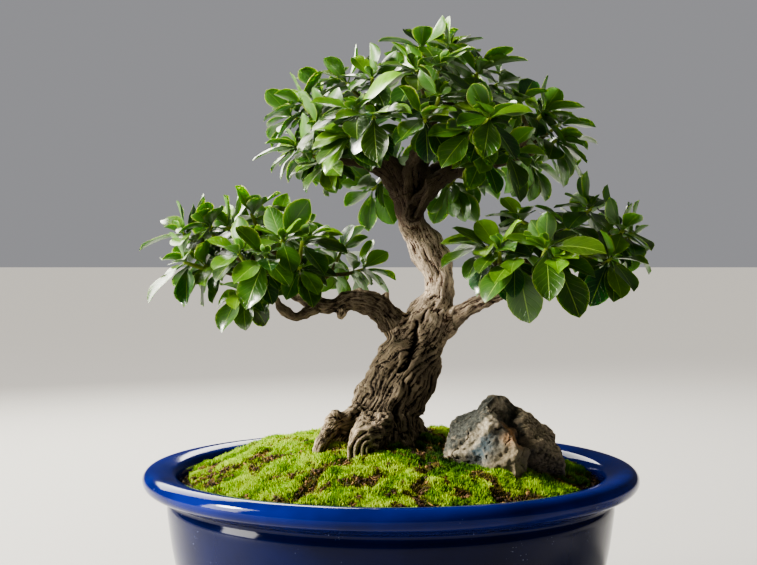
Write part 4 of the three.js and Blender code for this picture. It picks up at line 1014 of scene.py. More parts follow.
def waxy_leaf(node, places, tree):
    # Leathery evergreen leaf: waxy and dark above, with a pale midrib, side veins and margin,
    # paler and matt below, and thin enough for some light to come through.
    leaf_map = node("TexCoord", output="UV")
    across = node("MapRange", {0: node("SeparateXYZ", {0: leaf_map}, "X"), 3: -1.0, 4: 1.0})
    aside = node("Math", {0: across}, operation="ABSOLUTE")
    along = node("SeparateXYZ", {0: leaf_map}, "Y")
    under = node("MapRange", {0: "under", 1: 0.3, 2: 0.6})
    age = node("Mix", {0: "youth", 6: tree.leaf_old, 7: tree.leaf_young})
    toned = node("HueSaturation", {
        "Color": age, "Hue": node("MapRange", {0: "tone", 3: 0.488, 4: 0.51}),
        "Value": node("MapRange", {0: "tone", 3: 0.6, 4: 1.4}),
    })
    cloud = node("TexNoise", grains(places, 5, Detail=3.0))
    patchy = node("MapRange", {0: cloud, 1: 0.35, 2: 0.65, 4: 0.3})
    blade = node("Mix", {0: patchy, 6: toned, 7: tree.leaf_old})
    slanted = node("Math", {0: along, 1: 8.0, 2: node("Math", {0: aside, 1: -2.4}, operation="MULTIPLY")},
                   operation="MULTIPLY_ADD")
    wave = node("Math", {0: node("Math", {0: slanted, 1: 2 * math.pi}, operation="MULTIPLY")},
                operation="SINE")
    vein = node("MapRange", {0: wave, 1: 0.9, 2: 1.0})
    midrib = node("MapRange", {0: aside, 1: 0.05, 2: 0.015, 4: 0.7})
    margin = node("MapRange", {0: aside, 1: 0.965, 2: 1.0, 4: 0.8})
    pale = node("Math", {0: node("Math", {0: vein, 1: 0.12}, operation="MULTIPLY"),
                         1: node("Math", {0: midrib, 1: margin}, operation="MAXIMUM")}, operation="MAXIMUM")
    marked = node("Mix", {0: node("Math", {0: pale, 1: 0.75}, operation="MULTIPLY"), 6: blade,
                          7: tree.leaf_margin})
    below = node("Mix", {0: node("Math", {0: midrib, 1: 0.6}, operation="MULTIPLY"), 6: tree.leaf_under,
                         7: tree.leaf_margin})
    relief = node("Math", {0: vein, 1: midrib}, operation="ADD")
    return node("BsdfPrincipled", {
        "Base Color": node("Mix", {0: under, 6: marked, 7: below}),
        "Roughness": node("MapRange", {0: under, 3: 0.26, 4: 0.55}),
        "Subsurface Weight": 0.3,
        "Subsurface Radius": (0.7, 1.0, 0.25),
        "Subsurface Scale": 1.3 * MM,
        "Coat Weight": 0.8,
        "Coat Roughness": 0.28,
        "Normal": node("Bump", {"Height": relief, "Distance": -0.2 * MM, "Strength": 0.7}),
    })


def pale_floor(node, places):
    # Matt off-white paint on a studio floor.
    return node("BsdfPrincipled", {"Base Color": STUDIO["floor"], "Roughness": 0.7})


# ---------------------------------------------------------------- how the tree grows, in mm


def random_from(seed):
    """Seeded random numbers from 0 to 1."""
    state = seed
    while True:
        state = (state * 1664525 + 1013904223) % 2**32
        yield state / 2**32


def along_curve(places, shares):
    """Places at these shares, from 0 to 1, of a smooth curve through the given places."""
    last = len(places) - 1
    padded = np.vstack([2 * places[0] - places[1], places, 2 * places[-1] - places[-2]])
    first = np.minimum((shares * last).astype(int), last - 1)
    part = (shares * last - first)[:, None]
    before, start, end, after = (padded[first + step] for step in range(4))
    leaving, arriving = (end - before) / 2, (after - start) / 2
    square = -3 * start + 3 * end - 2 * leaving - arriving
    cube = 2 * start - 2 * end + leaving + arriving
    return start + leaving * part + square * part**2 + cube * part**3


def stations_along(limb, steps):
    """Even steps along a limb: places, directions, the frame across it, and radii."""
    limb = np.asarray(limb, float)
    shares = np.arange(steps + 1) / steps
    ahead = along_curve(limb[:, :3], np.minimum(shares + 1e-4, 1))
    behind = along_curve(limb[:, :3], np.maximum(shares - 1e-4, 0))
    tangents = unit(ahead - behind)
    normal = np.array((1.0, 0, 0) if abs(tangents[0][1]) > 0.9 else (0, -1.0, 0))
    normals = []
    for tangent in tangents:
        normal = unit(normal - tangent * (normal @ tangent))
        normals.append(normal)
    centres = along_curve(limb[:, :3], shares)
    runs = np.cumsum(np.linalg.norm(np.diff(centres, axis=0, prepend=centres[:1]), axis=1))
    radii = np.interp(shares * (len(limb) - 1), np.arange(len(limb)), limb[:, 3])
    return {
        "share": shares, "centre": centres, "tangent": tangents, "normal": np.array(normals),
        "binormal": np.cross(normals, tangents), "radius": radii, "run": runs,
    }


def stub_places(spray):
    """The stub that a spray stands on: a place inside its limb and one at the seat."""
    _, limb, seat, _ = spray
    stations = stations_along(LIMBS[limb], SEARCH_STEPS)
    nearest = np.linalg.norm(stations["centre"] - seat, axis=1).argmin()
    radius = min(stations["radius"][nearest] * STUB["startPart"], STUB["start"])
    return [(*stations["centre"][nearest], radius), (*seat, STUB["seat"])]


def spray_plan(spray):
    """A spray's twig and, for each shoot, its wood, its bud and the tips of its given leaves."""
    name, _, seat, shoots = spray
    base = np.array(seat, float)
    heading = unit(base - stub_places(spray)[0][:3])
    middle = np.mean([bud for bud, _ in shoots], axis=0)
    fork = base + (middle - base) * FORK["part"] + heading * FORK["rise"]
    twig = [
        (*(base + heading * SEAT_GAP), TWIG["seat"]),
        (*(base + heading * FORK["straight"]), TWIG["seat"]),
        (*fork, TWIG["fork"]),
    ]
    buds = []
    for bud, tips in shoots:
        halfway = (fork + bud) / 2 - (0, 0, FORK["sag"])
        shoot = [(*fork, TWIG["shoot"]), (*halfway, TWIG["middle"]), (*bud, TWIG["bud"])]
        end = np.array(bud, float)
        outward = unit(end - PAD_CENTRES[name.split("_")[0]])
        buds.append({
            "spray": name, "end": end, "direction": unit(end - fork), "outward": outward,
            "shoot": shoot, "tips": np.array(tips, float), "count": 0,
        })
    return {"name": name, "twig": twig, "heading": heading, "buds": buds}


def wood_spots(plans):
    """Round spots along all the wood, which leaves keep clear of: places, radii and names."""
    limbs = [("trunk", limb) for limb in LIMBS.values()]
    limbs += [("trunk", stub_places(spray)) for spray in SPRAYS]
    for plan in plans:
        limbs.append((plan["name"], plan["twig"]))
        limbs += [(plan["name"], bud["shoot"]) for bud in plan["buds"]]
    places, radii, names = [], [], []
    for name, limb in limbs:
        reach = np.linalg.norm(np.diff(np.array(limb)[:, :3], axis=0), axis=1).sum()
        stations = stations_along(limb, max(2, math.ceil(reach / SPOT_SPACING)))
        places.append(stations["centre"])
        radii.append(stations["radius"])
        names += [name] * len(stations["radius"])
    return np.vstack(places), np.concatenate(radii), np.array(names)


def blade_outline(share, shape=OUTLINE):
    """How wide the blade is along it, against its widest."""
    grown = np.clip((share - LEAF["petiole"]) / (1 - LEAF["petiole"]), 0, 1)
    blade = np.maximum(np.sin(np.pi * grown ** shape["skew"]), 0) ** shape["fullness"]
    return np.where(share <= LEAF["petiole"], shape["stalk"], blade)


def leaf_between(root, tip, outward):
    """A leaf from its root to its tip, as one row: its frame, reach, half width and arch.

    Its upper face is turned up and out of the crown, or in where it stands upright.
    """
    size = np.linalg.norm(tip - root)
    chord = (tip - root) / size
    turned_out = FACING["inward"] if chord[2] > FACING["upright"] else FACING["out"]
    facing = np.array((0, 0, FACING["up"])) + outward * turned_out
    facing = unit(facing - chord * (facing @ chord))
    arch = ARCH["least"] + ARCH["lying"] * (1 - abs(chord[2]))
    stretch = math.hypot(1, arch)
    along = (chord + facing * arch) / stretch
    face = (facing - chord * arch) / stretch
    side = np.cross(face, along)
    return np.array([*root, *along, *side, *face, size / stretch, size * LEAF["width"] / 2, arch])


def place_on_leaf(leaf, share, across, lift=0.0, shape=OUTLINE):
    """Places on leaves, from shares along them and across them."""
    reach, half, arch = (leaf[..., i:i + 1] for i in (12, 13, 14))
    share, across, lift = (np.asarray(value, float)[..., None] for value in (share, across, lift))
    width = half * blade_outline(share, shape) * across
    height = -arch * reach * share**2 + LEAF["fold"] * np.abs(width) + lift
    return leaf[..., :3] + leaf[..., 3:6] * reach * share + leaf[..., 6:9] * width + leaf[..., 9:12] * height


def near_blade(leaf, spots, radius, start, clear):
    """Which spots come too near to a leaf's blade, past the stretch near its root."""
    offset = spots - leaf[..., :3]
    reach, half, arch = (leaf[..., i] for i in (12, 13, 14))
    share = (offset * leaf[..., 3:6]).sum(-1) / reach
    across = np.abs((offset * leaf[..., 6:9]).sum(-1))
    edge = half * blade_outline(np.minimum(share, clear["nearTip"]))
    height = (offset * leaf[..., 9:12]).sum(-1) + arch * reach * share**2 - LEAF["fold"] * across
    return (
        (share >= start) & (share <= clear["pastTip"])
        & (across <= edge + radius + clear["edge"]) & (np.abs(height) < radius + clear["blade"])
    )


class Foliage:
    """The leaves grown so far, which keep clear of the wood and of each other."""

    def __init__(self, plans):
        self.wood, self.wood_radii, self.wood_names = wood_spots(plans)
        stations, across = np.meshgrid(EDGE_STATIONS, (-1, 0, 1), indexing="ij")
        self.edge = stations.ravel(), across.ravel()
        self.rows = np.zeros((0, 15))
        self.spots = np.zeros((0, len(self.edge[0]), 3))
        self.grown = []

    def misses_wood(self, leaf, name, clear):
        own = self.wood_names == name
        start = np.where(own, clear["fromOwnWood"], clear["fromOtherWood"])
        apart = np.linalg.norm(self.wood - leaf[:3], axis=1)
        close = apart < leaf[12] + self.wood_radii + clear["woodReach"]
        hits = near_blade(leaf, self.wood, self.wood_radii, start, clear)
        return not (close & hits).any()

    def misses_leaves(self, leaf, spots, clear):
        apart = np.linalg.norm(self.rows[:, :3] - leaf[:3], axis=1)
        near = apart <= self.rows[:, 12] + leaf[12] + clear["leafReach"]
        others = self.rows[near][:, None, :]
        same = apart[near] < clear["sameShoot"]
        start = np.where(same, clear["fromSameShoot"], clear["fromOtherLeaf"])[:, None]
        return not (
            near_blade(others, spots, 0, start, clear).any()
            or near_blade(leaf, self.spots[near], 0, start, clear).any()
        )

    def keeps(self, leaf, bud, youth, clear):
        """Adds the leaf if it keeps clear, and says whether it did."""
        spots = place_on_leaf(leaf, *self.edge)
        if not (
            self.misses_wood(leaf, bud["spray"], clear)
            and self.misses_leaves(leaf, spots, clear)
            and (clear is CLEAR or inside_box(spots))
        ):
            return False
        self.rows = np.vstack([self.rows, leaf])
        self.spots = np.concatenate([self.spots, spots[None]])
        self.grown.append((bud["spray"], youth))
        bud["count"] += 1
        return True


def inside_box(points):
    """Whether the points, in mm, lie in the frame's box."""
    low, high = (np.array(corner) / MM for corner in CAD_BOX)
    return bool((points > low).all() and (points < high).all())


def leaf_by_rule(bud, age, random, end=None):
    """The next leaf that a bud gives, one turn further round its shoot, at the shoot's end or at
    another place: old leaves hang outside and below, and young ones stand up round the end."""
    bud["turn"] += GOLDEN_ANGLE
    axis = bud["direction"] * GROWTH["along"] + bud["outward"] * GROWTH["outward"]
    axis = unit(axis + (0, 0, GROWTH["up"]))
    first = unit((axis[2], 0, -axis[0]))
    second = np.cross(axis, first)
    scatter = GROWTH["scatter"] * (next(random) - 0.5)
    opening = math.radians(GROWTH["opening"] + GROWTH["openingOld"] * age + scatter)
    aside = first * math.cos(bud["turn"]) + second * math.sin(bud["turn"])
    direction = axis * math.cos(opening) + aside * math.sin(opening)
    direction = unit(direction - (0, 0, GROWTH["droop"] * age))
    young = GROWTH["youngLength"]
    grown = (young + (1 - young) * age) * math.sqrt(next(random))
    size = LEAF["shortest"] + (LEAF["longest"] - LEAF["shortest"]) * grown
    end = bud["end"] if end is None else end
    root = end - bud["direction"] * (GROWTH["rootBack"] + GROWTH["rootBackOld"] * age)
    return leaf_between(root, root + direction * size, bud["outward"])


def grow_leaves(plans, extra_leaves):
    """All the leaves: first those with given tips, then by turns one more on each shoot that
    has fewer than its share, and last as many as still fit between them."""
    foliage = Foliage(plans)
    buds = [bud for plan in plans for bud in plan["buds"]]
    for bud in buds:
        root = bud["end"] - bud["direction"] * GROWTH["givenRootBack"]
        for tip in bud["tips"]:
            for shift in TIP_SHIFTS:
                leaf = leaf_between(root, tip + (0, shift, 0), bud["outward"])
                youth = YOUTH["hanging"] + YOUTH["upright"] * max(leaf[5], 0)
                if foliage.keeps(leaf, bud, youth, CLEAR):
                    break
    random = random_from(LEAF_SEED)
    for bud in buds:
        bud["turn"] = next(random) * 2 * math.pi
    bare = LEAVES_PER_SHOOT["bare"]
    for turn in range(bare):
        age = 1 - turn / bare
        for bud in buds:
            most = LEAVES_PER_SHOOT["given"] if len(bud["tips"]) else bare
            for _ in range(TRIES):
                if bud["count"] >= min(turn + 1, most):
                    break
                leaf = leaf_by_rule(bud, age, random)
                foliage.keeps(leaf, bud, YOUTH["rule"] * (1 - age), CLEAR)
    for turn in range(extra_leaves):
        age = FILLING_AGES[turn % len(FILLING_AGES)]
        for bud in buds:
            for _ in range(CROWDED_TRIES):
                leaf = leaf_by_rule(bud, age, random)
                if foliage.keeps(leaf, bud, YOUTH["filling"] * (1 - age) * next(random), CROWDED):
                    break
    span = SIDE_LEAVES["last"] - SIDE_LEAVES["first"]
    for turn in range(SIDE_LEAVES["rounds"]):
        for bud in buds:
            for _ in range(TRIES):
                share = SIDE_LEAVES["first"] + span * next(random)
                end = along_curve(np.array(bud["shoot"])[:, :3], np.array([share]))[0]
                leaf = leaf_by_rule(bud, SIDE_LEAVES["age"], random, end)
                leaf[12:14] *= SIDE_LEAVES["size"]
                if foliage.keeps(leaf, bud, SIDE_LEAVES["youth"] * next(random), CROWDED):
                    break
    for bud in buds:
        for _ in range(YOUTH["leaves"]):
            grown = leaf_by_rule(bud, YOUTH["age"], random)
            size = YOUTH["shortest"] + YOUTH["spread"] * next(random)
            tip = bud["end"] + unit(grown[3:6] - grown[9:12] * grown[14]) * size
            leaf = leaf_between(bud["end"] - bud["direction"] * SEAT_GAP, tip, bud["outward"])
            foliage.keeps(leaf, bud, 1.0, CROWDED)
    return foliage


# ---------------------------------------------------------------- shapes of the pieces


def tubes(name, limbs, steps_per_mm):
    """Round tapered tubes along the limbs, drawn as one curve object and made a mesh."""
    obj = added(bpy.ops.curve.primitive_nurbs_path_add)
    obj.name = name
    curve = obj.data
    curve.splines.clear()
    curve.bevel_depth = MM
    curve.bevel_resolution = 3
    curve.use_fill_caps = True
    for limb in limbs:
        reach = np.linalg.norm(np.diff(np.array(limb)[:, :3], axis=0), axis=1).sum()
        stations = stations_along(limb, max(3, math.ceil(reach * steps_per_mm)))
        spline = curve.splines.new("POLY")
        spline.points.add(len(stations["radius"]) - 1)
        rows = np.column_stack([stations["centre"] * MM, np.ones(len(stations["radius"]))])
        spline.points.foreach_set("co", rows.ravel())
        spline.points.foreach_set("radius", stations["radius"])
    use_only(obj)
    bpy.ops.object.convert(target="MESH")
    obj = bpy.context.active_object
    in_edit_mode(obj, merge_corners, face_outwards)
    return obj


def nearest_stations(points, limbs):
    """For each point, the frame of the place on the wood whose surface is nearest."""
    rows = [stations_along(limb, len(limb) * STATIONS_EACH) for limb in limbs]
    all_rows = {key: np.concatenate([row[key] for row in rows]) for key in rows[0]}
    all_rows["limb"] = np.concatenate([np.full(len(row["run"]), i) for i, row in enumerate(rows)])
    reach = all_rows["radius"] + TRUNK_RULE * (all_rows["limb"] == 0)
    nearest = np.zeros(len(points), int)
    for first in range(0, len(points), POINTS_AT_ONCE):
        block = points[first:first + POINTS_AT_ONCE]
        apart = np.linalg.norm(block[:, None] - all_rows["centre"], axis=2) - reach
        nearest[first:first + POINTS_AT_ONCE] = apart.argmin(axis=1)
    return {key: values[nearest] for key, values in all_rows.items()}


def fill_crotches(obj, rounds):
    """Fills the corners between limbs, as growing wood does, and leaves the rest as it is."""
    points = corners_of(obj)
    for _ in range(rounds):
        normals = normals_of(obj)
        outward = ((neighbour_means(obj, points) - points) * normals).sum(1)
        points = points + normals * np.clip(outward, 0, None)[:, None]
        move_corners(obj, points)


def hollows_at(points):
    """How far in or out the deep hollows and their lips take each point of the wood's front."""
    apart = np.full(len(points), np.inf)
    for line in HOLLOWS:
        line = np.array(line, float)
        for start, end in zip(line[:-1], line[1:]):
            ahead = end[:2] - start[:2]
            share = np.clip((points[:, [0, 2]] - start[:2]) @ ahead / (ahead @ ahead), 0, 1)[:, None]
            nearest = start + (end - start) * share
            away = np.hypot(points[:, 0] - nearest[:, 0], points[:, 2] - nearest[:, 1])
            apart = np.minimum(apart, away / nearest[:, 2])
    cut = np.exp(-apart**2)
    lip = np.exp(-((apart - HOLLOW_LIP["aside"]) / HOLLOW_LIP["width"]) ** 2)
    return HOLLOW_DEPTH["lip"] * lip - HOLLOW_DEPTH["deep"] * cut


def broad_forms(points, near, angle, age):
    """How far the trunk's turning folds and the wood's lumps and knobs raise each point."""
    on_trunk = near["limb"] == 0
    turned = angle + TRUNK_TURN * near["share"]
    folds = sum(depth * np.cos(count * turned + drift * near["share"])
                for count, depth, drift in FOLDS)
    keep = BARK_AGE["youngDepth"]
    lumps = layered_noise(points, LUMPS) * np.clip(near["radius"] / LUMPY["radius"], LUMPY["least"], 1)
    lumps += layered_noise(points, KNOBS) * np.where(on_trunk, LUMPY["trunkKnobs"], LUMPY["knobs"])
    deep = near["radius"] * folds * (keep + (1 - keep) * age) * FOLD_SHARE
    return np.where(on_trunk, deep, 0) + lumps


def strand_flow(points, near, angle):
    """Coordinates that wind along the wood with its strands, in mm."""
    swing = SWING["turn"] * smoothstep(points[:, 2], *SWING["heights"])
    wound = angle + np.where(
        near["limb"] == 0, STRANDS["turn"] * near["share"] + swing, STRANDS["limbTurn"] * near["run"],
    )
    wound = wound + layered_noise(points, STRAND_BENDS)
    thick = np.maximum(near["radius"], STRANDS["thinnest"])
    flow = np.column_stack([
        np.cos(wound) * thick, np.sin(wound) * thick, near["run"] * STRANDS["drawnOut"],
    ])
    return flow + near["limb"][:, None] * STRANDS["apart"]


def bark_relief(points, flow, age, is_root):
    """The bark's crests and cracks, from 0 to 1: strands and flakes when old, plates when young."""
    crests = {}
    for name, (shorter, grain, shift, width) in CRESTS.items():
        crest = np.abs(noise_at(flow * (1, 1, shorter), grain, shift)) / width
        crests[name] = np.minimum(crest, 1) ** CREST_POWER
    smooth, rough, young = (
        sum(share * crests[name] for name, share in mix.items()) for mix in BARK_MIX.values()
    )
    roughness = noise_at(points, *ROUGH_BARK["noise"]) * ROUGH_BARK["spread"]
    roughness = np.clip(roughness + ROUGH_BARK["middle"], 0, ROUGH_BARK["most"])
    roughness = np.where(is_root, ROUGH_BARK["roots"], roughness)
    old = smooth * (1 - roughness) + rough * roughness
    return age * old + (1 - age) * young


def arched(points, limb, relief, depth):
    """The relief and its depth, with the arches that the knuckle roots show instead."""
    first = len(LIMBS) + len(ROOTS) + len(ROOTLETS)
    knuckled = (limb >= first) & (limb < first + len(KNUCKLES))
    x, z = ARCHES["centre"]
    out = np.hypot(points[:, 0] - x, np.maximum(points[:, 2] - z, 0)) - ARCHES["radius"]
    turn = np.pi * out / ARCHES["apart"] + layered_noise(points, [ARCHES["waver"]])
    arches = np.abs(np.cos(turn)) ** ARCHES["roundness"]
    share = knuckled * smoothstep(-points[:, 0], *ARCHES["fade"])
    least = ARCHES["least"]
    relief = relief + (least + (1 - least) * arches - relief) * share
    return relief, depth + (ARCHES["depth"] - depth) * share


def sharpness(obj, points, rounds):
    """How far each corner stands out of what lies round it, in mm."""
    smooth = points
    for _ in range(rounds):
        smooth = neighbour_means(obj, smooth)
    return ((points - smooth) * normals_of(obj)).sum(1)


def by_limb(near, given):
    """A number for each point: its limb's own, or that of the other limbs or of the roots."""
    numbers = np.array([given.get(name, given["others"]) for name in LIMBS] + [given["roots"]])
    return numbers[np.minimum(near["limb"], len(LIMBS))]


def young_bark(height, near):
    """How young the bark looks at each point, from 0 to 1."""
    on_trunk = smoothstep(height, *YOUNG_HEIGHTS["turns"])
    # Old, darker bark again below the fork, as painted shade.
    on_trunk *= 1 - YOUNG_HEIGHTS["forkPaintedShade"] * smoothstep(height, *YOUNG_HEIGHTS["fork"])
    young = np.where(near["limb"] == 0, on_trunk, by_limb(near, YOUNG_BARK))
    return np.where(height < YOUNG_HEIGHTS["none"], 0, young)


def bark_darkness_and_painted_shade(height, across, near):
    """How much darker the bark is at each point: on limbs, partly painted shade, and as painted shade at the
    fork and on the trunk's right side.
    """
    across = across / np.maximum(near["radius"], STRANDS["thinnest"])
    side = smoothstep(across, *PAINTED_SHADE_SIDE["across"]) * (1 - smoothstep(height, *PAINTED_SHADE_SIDE["heights"]))
    fork = LIMB_DARKNESS_AND_PAINTED_SHADE["others"] * smoothstep(height, *PAINTED_SHADE_FORK)
    shade = np.maximum(fork, by_limb(near, LIMB_DARKNESS_AND_PAINTED_SHADE))
    return np.maximum(shade, PAINTED_SHADE_SIDE["share"] * side)


def furrow(obj, limbs, ridge_depth):
    """Raises ridges that flow and twist along the wood, and notes what its bark's colour needs."""
    points = corners_of(obj)
    near = nearest_stations(points, limbs)
    offset = points - near["centre"]
    angle = np.arctan2((offset * near["binormal"]).sum(1), (offset * near["normal"]).sum(1))
    on_trunk = near["limb"] == 0
    is_root = near["limb"] >= len(LIMBS)
    age = 1 - smoothstep(near["share"], *BARK_AGE["turns"])
    age = np.where(on_trunk, age, np.where(is_root, 1, BARK_AGE["limbs"]))
    flow = strand_flow(points, near, angle)
    relief = bark_relief(points, flow, age, is_root)
    depth = ridge_depth / MM * (CRACKS["young"] + (1 - CRACKS["young"]) * age)
    depth *= np.clip(near["radius"] / CRACKS["radius"], CRACKS["least"], CRACKS["most"])
    depth[near["radius"] < CRACKS["twig"]] *= 0.5
    relief, depth = arched(points, near["limb"], relief, depth)
    hollowed = hollows_at(points) * smoothstep(-normals_of(obj)[:, 1], *HOLLOW_FRONT)
    relief = relief - CRACKS["middle"]
    raised = broad_forms(points, near, angle, age) + relief * depth + hollowed
    pushed = points + normals_of(obj) * raised[:, None]
    move_corners(obj, pushed)
    young = young_bark(points[:, 2], near)
    crest = CREST_TONE["middle"] + CREST_TONE["relief"] * relief
    # Corners that lie deep in cracks and hollows darken, partly as the bark's own colour and partly as
    # painted shade.
    crest += CREST_TONE["sharp"] * sharpness(obj, pushed, CRACK_SMOOTHINGS)
    crest += CREST_TONE["hollow"] * np.minimum(hollowed, CREST_TONE["lip"])
    crest += CREST_TONE["young"] * on_trunk * young
    set_attribute(obj, "crest", np.clip(crest, 0, 1))
    set_attribute(obj, "young", young)
    # Painted shade at the fork and on the trunk's right side, and partly on the limbs.
    set_attribute(obj, "shade", bark_darkness_and_painted_shade(points[:, 2], offset[:, 0], near))
    set_attribute(obj, "flow", flow, "FLOAT_VECTOR", "vector")


def broken_faces(points, normals):
    """The rock's corners, broken down to flat faces at random places."""
    random = np.random.default_rng(FACETS["seed"])
    for chosen in random.choice(len(points), FACETS["count"], replace=False):
        facing = unit(normals[chosen] + random.normal(0, FACETS["tilt"], 3))
        depth = FACETS["least"] + (FACETS["most"] - FACETS["least"]) * random.random()
        offset = points - points[chosen]
        apart = np.linalg.norm(offset, axis=1) / FACETS["reach"]
        cut = np.clip(offset @ facing + depth, 0, None) * (1 - smoothstep(apart, FACETS["full"], 1))
        points = points - cut[:, None] * facing
    return points


def creases_at(points):
    """How deep each point lies in one of the rock's creases, from 0 to 1."""
    creases = noise_at(points * (1, 1, CREASES["flatter"]), *CREASES["noise"])
    creases = np.clip(1 - np.abs(creases) / CREASES["width"], 0, 1)
    return creases * smoothstep(noise_at(points, *CREASED["noise"]), *CREASED["soft"])


def mark_stone(obj, points):
    """Notes where the rock's other kinds of stone lie: its dark side, its top and its vein."""
    across, height = points[:, 0], points[:, 2]
    wander = layered_noise(points, ROCK_WANDER)
    leaning = across + DARK_STONE["lean"] * (height - DARK_STONE["height"])
    dark = smoothstep(leaning - DARK_STONE["across"] + wander, *DARK_STONE["soft"])
    slope = TOP_STONE["slope"] * (across - TOP_STONE["across"])
    above = height - TOP_STONE["height"] - slope + wander
    vein = smoothstep(-np.abs(above + VEIN["below"]), *VEIN["soft"])
    set_attribute(obj, "dark", dark)
    set_attribute(obj, "top", smoothstep(above, *TOP_STONE["soft"]) * (1 - dark))
    set_attribute(obj, "vein", vein * (1 - dark))


def chisel(obj):
    """Breaks the rock's faces rough and notes its edges, its hollows and creases for painted shade, and its
    kinds of stone.
    """
    points = corners_of(obj)
    swell = layered_noise(points, ROCK_SWELL["noise"]) + ROCK_SWELL["lift"]
    points = points + normals_of(obj) * swell[:, None]
    move_corners(obj, points)
    points = broken_faces(points, normals_of(obj))
    creases = creases_at(points)
    rough = layered_noise(points, ROCK_BREAKS) - CREASES["depth"] * creases
    move_corners(obj, points)
    points = points + normals_of(obj) * rough[:, None]
    move_corners(obj, points)
    sharp = sharpness(obj, points, EDGE_SMOOTHINGS)
    # Hollows and creases, which the material darkens as painted shade.
    hollow = np.maximum(smoothstep(-sharp, *ROCK_PAINTED_SHADE_HOLLOW), CREASES["dark"] * creases)
    set_attribute(obj, "edge", smoothstep(sharp, *ROCK_EDGE))
    set_attribute(obj, "hollow", hollow)
    mark_stone(obj, points)


def survey_ground():
    """Spreads points over the pot's mouth: where the soil lies bare, where moss covers it, and
    the moss patch at each of the second."""
    trees = {name: BVHTree.FromPolygons(
        [vertex.co / MM for vertex in node.data.vertices],
        [tuple(face.vertices) for face in node.data.polygons],
    ) for name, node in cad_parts.items() if name.startswith(("moss", "rock", "trunk"))}
    random = np.random.default_rng(CRUMBS["seed"])
    radii = (SOIL_RADIUS - 1) * np.sqrt(random.random(CRUMBS["tries"]))
    angles = random.random(CRUMBS["tries"]) * 2 * np.pi
    bare, mossy, patches = [], [], []
    for x, y in zip(radii * np.cos(angles), radii * np.sin(angles)):
        hits = {name: tree.ray_cast((x, y, SURVEY_HEIGHT), (0, 0, -1))[0] for name, tree in trees.items()}
        if hits["rock"] or hits["trunk"]:
            continue
        tops = {name: hit.z for name, hit in hits.items() if hit}
        if tops:
            patches.append(max(tops, key=tops.get))
            mossy.append((x, y, tops[patches[-1]]))
        else:
            bare.append((x, y, SOIL_CROWN - SOIL_DROP * (math.hypot(x, y) / SOIL_RADIUS) ** 2))
    return np.array(bare), np.array(mossy), np.array(patches)


def nearest_from_above(points, places):
    """For each point, which place is nearest as seen from above, and how far it is."""
    tree = KDTree(len(places))
    for number, place in enumerate(places):
        tree.insert((place[0], place[1], 0), number)
    tree.balance()
    found = [tree.find((x, y, 0)) for x, y in points[:, :2]]
    return np.array([row[1] for row in found], int), np.array([row[2] for row in found])


def in_seams(bare):
    """The bare places that lie in the seams between the moss patches."""
    return bare[np.hypot(bare[:, 0], bare[:, 1]) < LITTER["rim"]]


def from_seams(points, bare):
    """How far each point is from the seams between the moss patches, as seen from above."""
    return nearest_from_above(points, in_seams(bare))[1]


def over_seams(ground, name, area, random):
    """Places in the seams beside this patch, level with its top, which its moss closes."""
    bare, mossy, patches = ground
    seams = in_seams(bare)
    nearest, _ = nearest_from_above(seams, mossy)
    own = patches[nearest] == name
    places = seams[own] * (1, 1, 0) + mossy[nearest[own]] * (0, 0, 1) - (0, 0, LITTER["sink"])
    spot_area = math.pi * SOIL_RADIUS**2 / CRUMBS["tries"]
    places = np.repeat(places, max(1, round(spot_area / area)), axis=0)
    return places + random.normal(0, LITTER["spread"], places.shape) * (1, 1, 0)


def dryness(points, bare):
    """How dry the moss is, from 0 to 1: along the seams between its patches and in spots."""
    frayed = from_seams(points, bare) + layered_noise(points, [LITTER["fray"]])
    seams = 1 - smoothstep(frayed, LITTER["seamFrom"], LITTER["seam"])
    spots = smoothstep(layered_noise(points, DRY_SPOTS), LITTER["dry"], LITTER["dryer"])
    return np.maximum(seams, spots)


def scattered(obj, area, random):
    """Points spread over the upward faces of a mesh, one for each so many square mm."""
    mesh = obj.data
    mesh.calc_loop_triangles()
    corners = corners_of(obj)
    triangles = np.zeros(len(mesh.loop_triangles) * 3, int)
    mesh.loop_triangles.foreach_get("vertices", triangles)
    first, second, third = (corners[column] for column in triangles.reshape(-1, 3).T)
    across = np.cross(second - first, third - first)
    areas = np.linalg.norm(across, axis=1) / 2
    up = unit(across)[:, 2]
    weights = areas * (up > SHOOTS["steepest"])
    count = int(weights.sum() / area)
    chosen = random.choice(len(areas), count, p=weights / weights.sum())
    one, two = random.random((2, count))
    one, two = np.where(one + two > 1, 1 - one, one), np.where(one + two > 1, 1 - two, two)
    places = first[chosen] + (second - first)[chosen] * one[:, None]
    places += (third - first)[chosen] * two[:, None]
    return places, unit(across)[chosen]


def raised_along(directions, random):
    """For each direction, two more at right angles to it, turned round it at random."""
    helper = np.where(np.abs(directions[:, 2:]) < 0.9, (0, 0, 1.0), (1.0, 0, 0))
    first = unit(np.cross(directions, helper))
    second = np.cross(directions, first)
    turn = random.random(len(directions))[:, None] * 2 * np.pi
    return first * np.cos(turn) + second * np.sin(turn), second * np.cos(turn) - first * np.sin(turn)


def moss_mat(name, bare):
    """The mat that a patch's shoots stand on: swollen in places and sunk along its seams."""
    mat = merged_copy("cushion_" + name, name)
    remesh(mat, MOSS_VOXEL)
    points = corners_of(mat)
    up = np.clip(normals_of(mat)[:, 2], 0, 1)
    points[:, 2] += up * layered_noise(points, MOSS_SWELLS)
    shoulder = 1 - smoothstep(from_seams(points, bare), 0, LITTER["shoulder"])
    points[:, 2] -= up * LITTER["sink"] * shoulder
    move_corners(mat, points)
    for part, share in MOSS_MAT.items():
        set_attribute(mat, part, [share])
    set_attribute(mat, "dry", dryness(points, bare))
    return mat


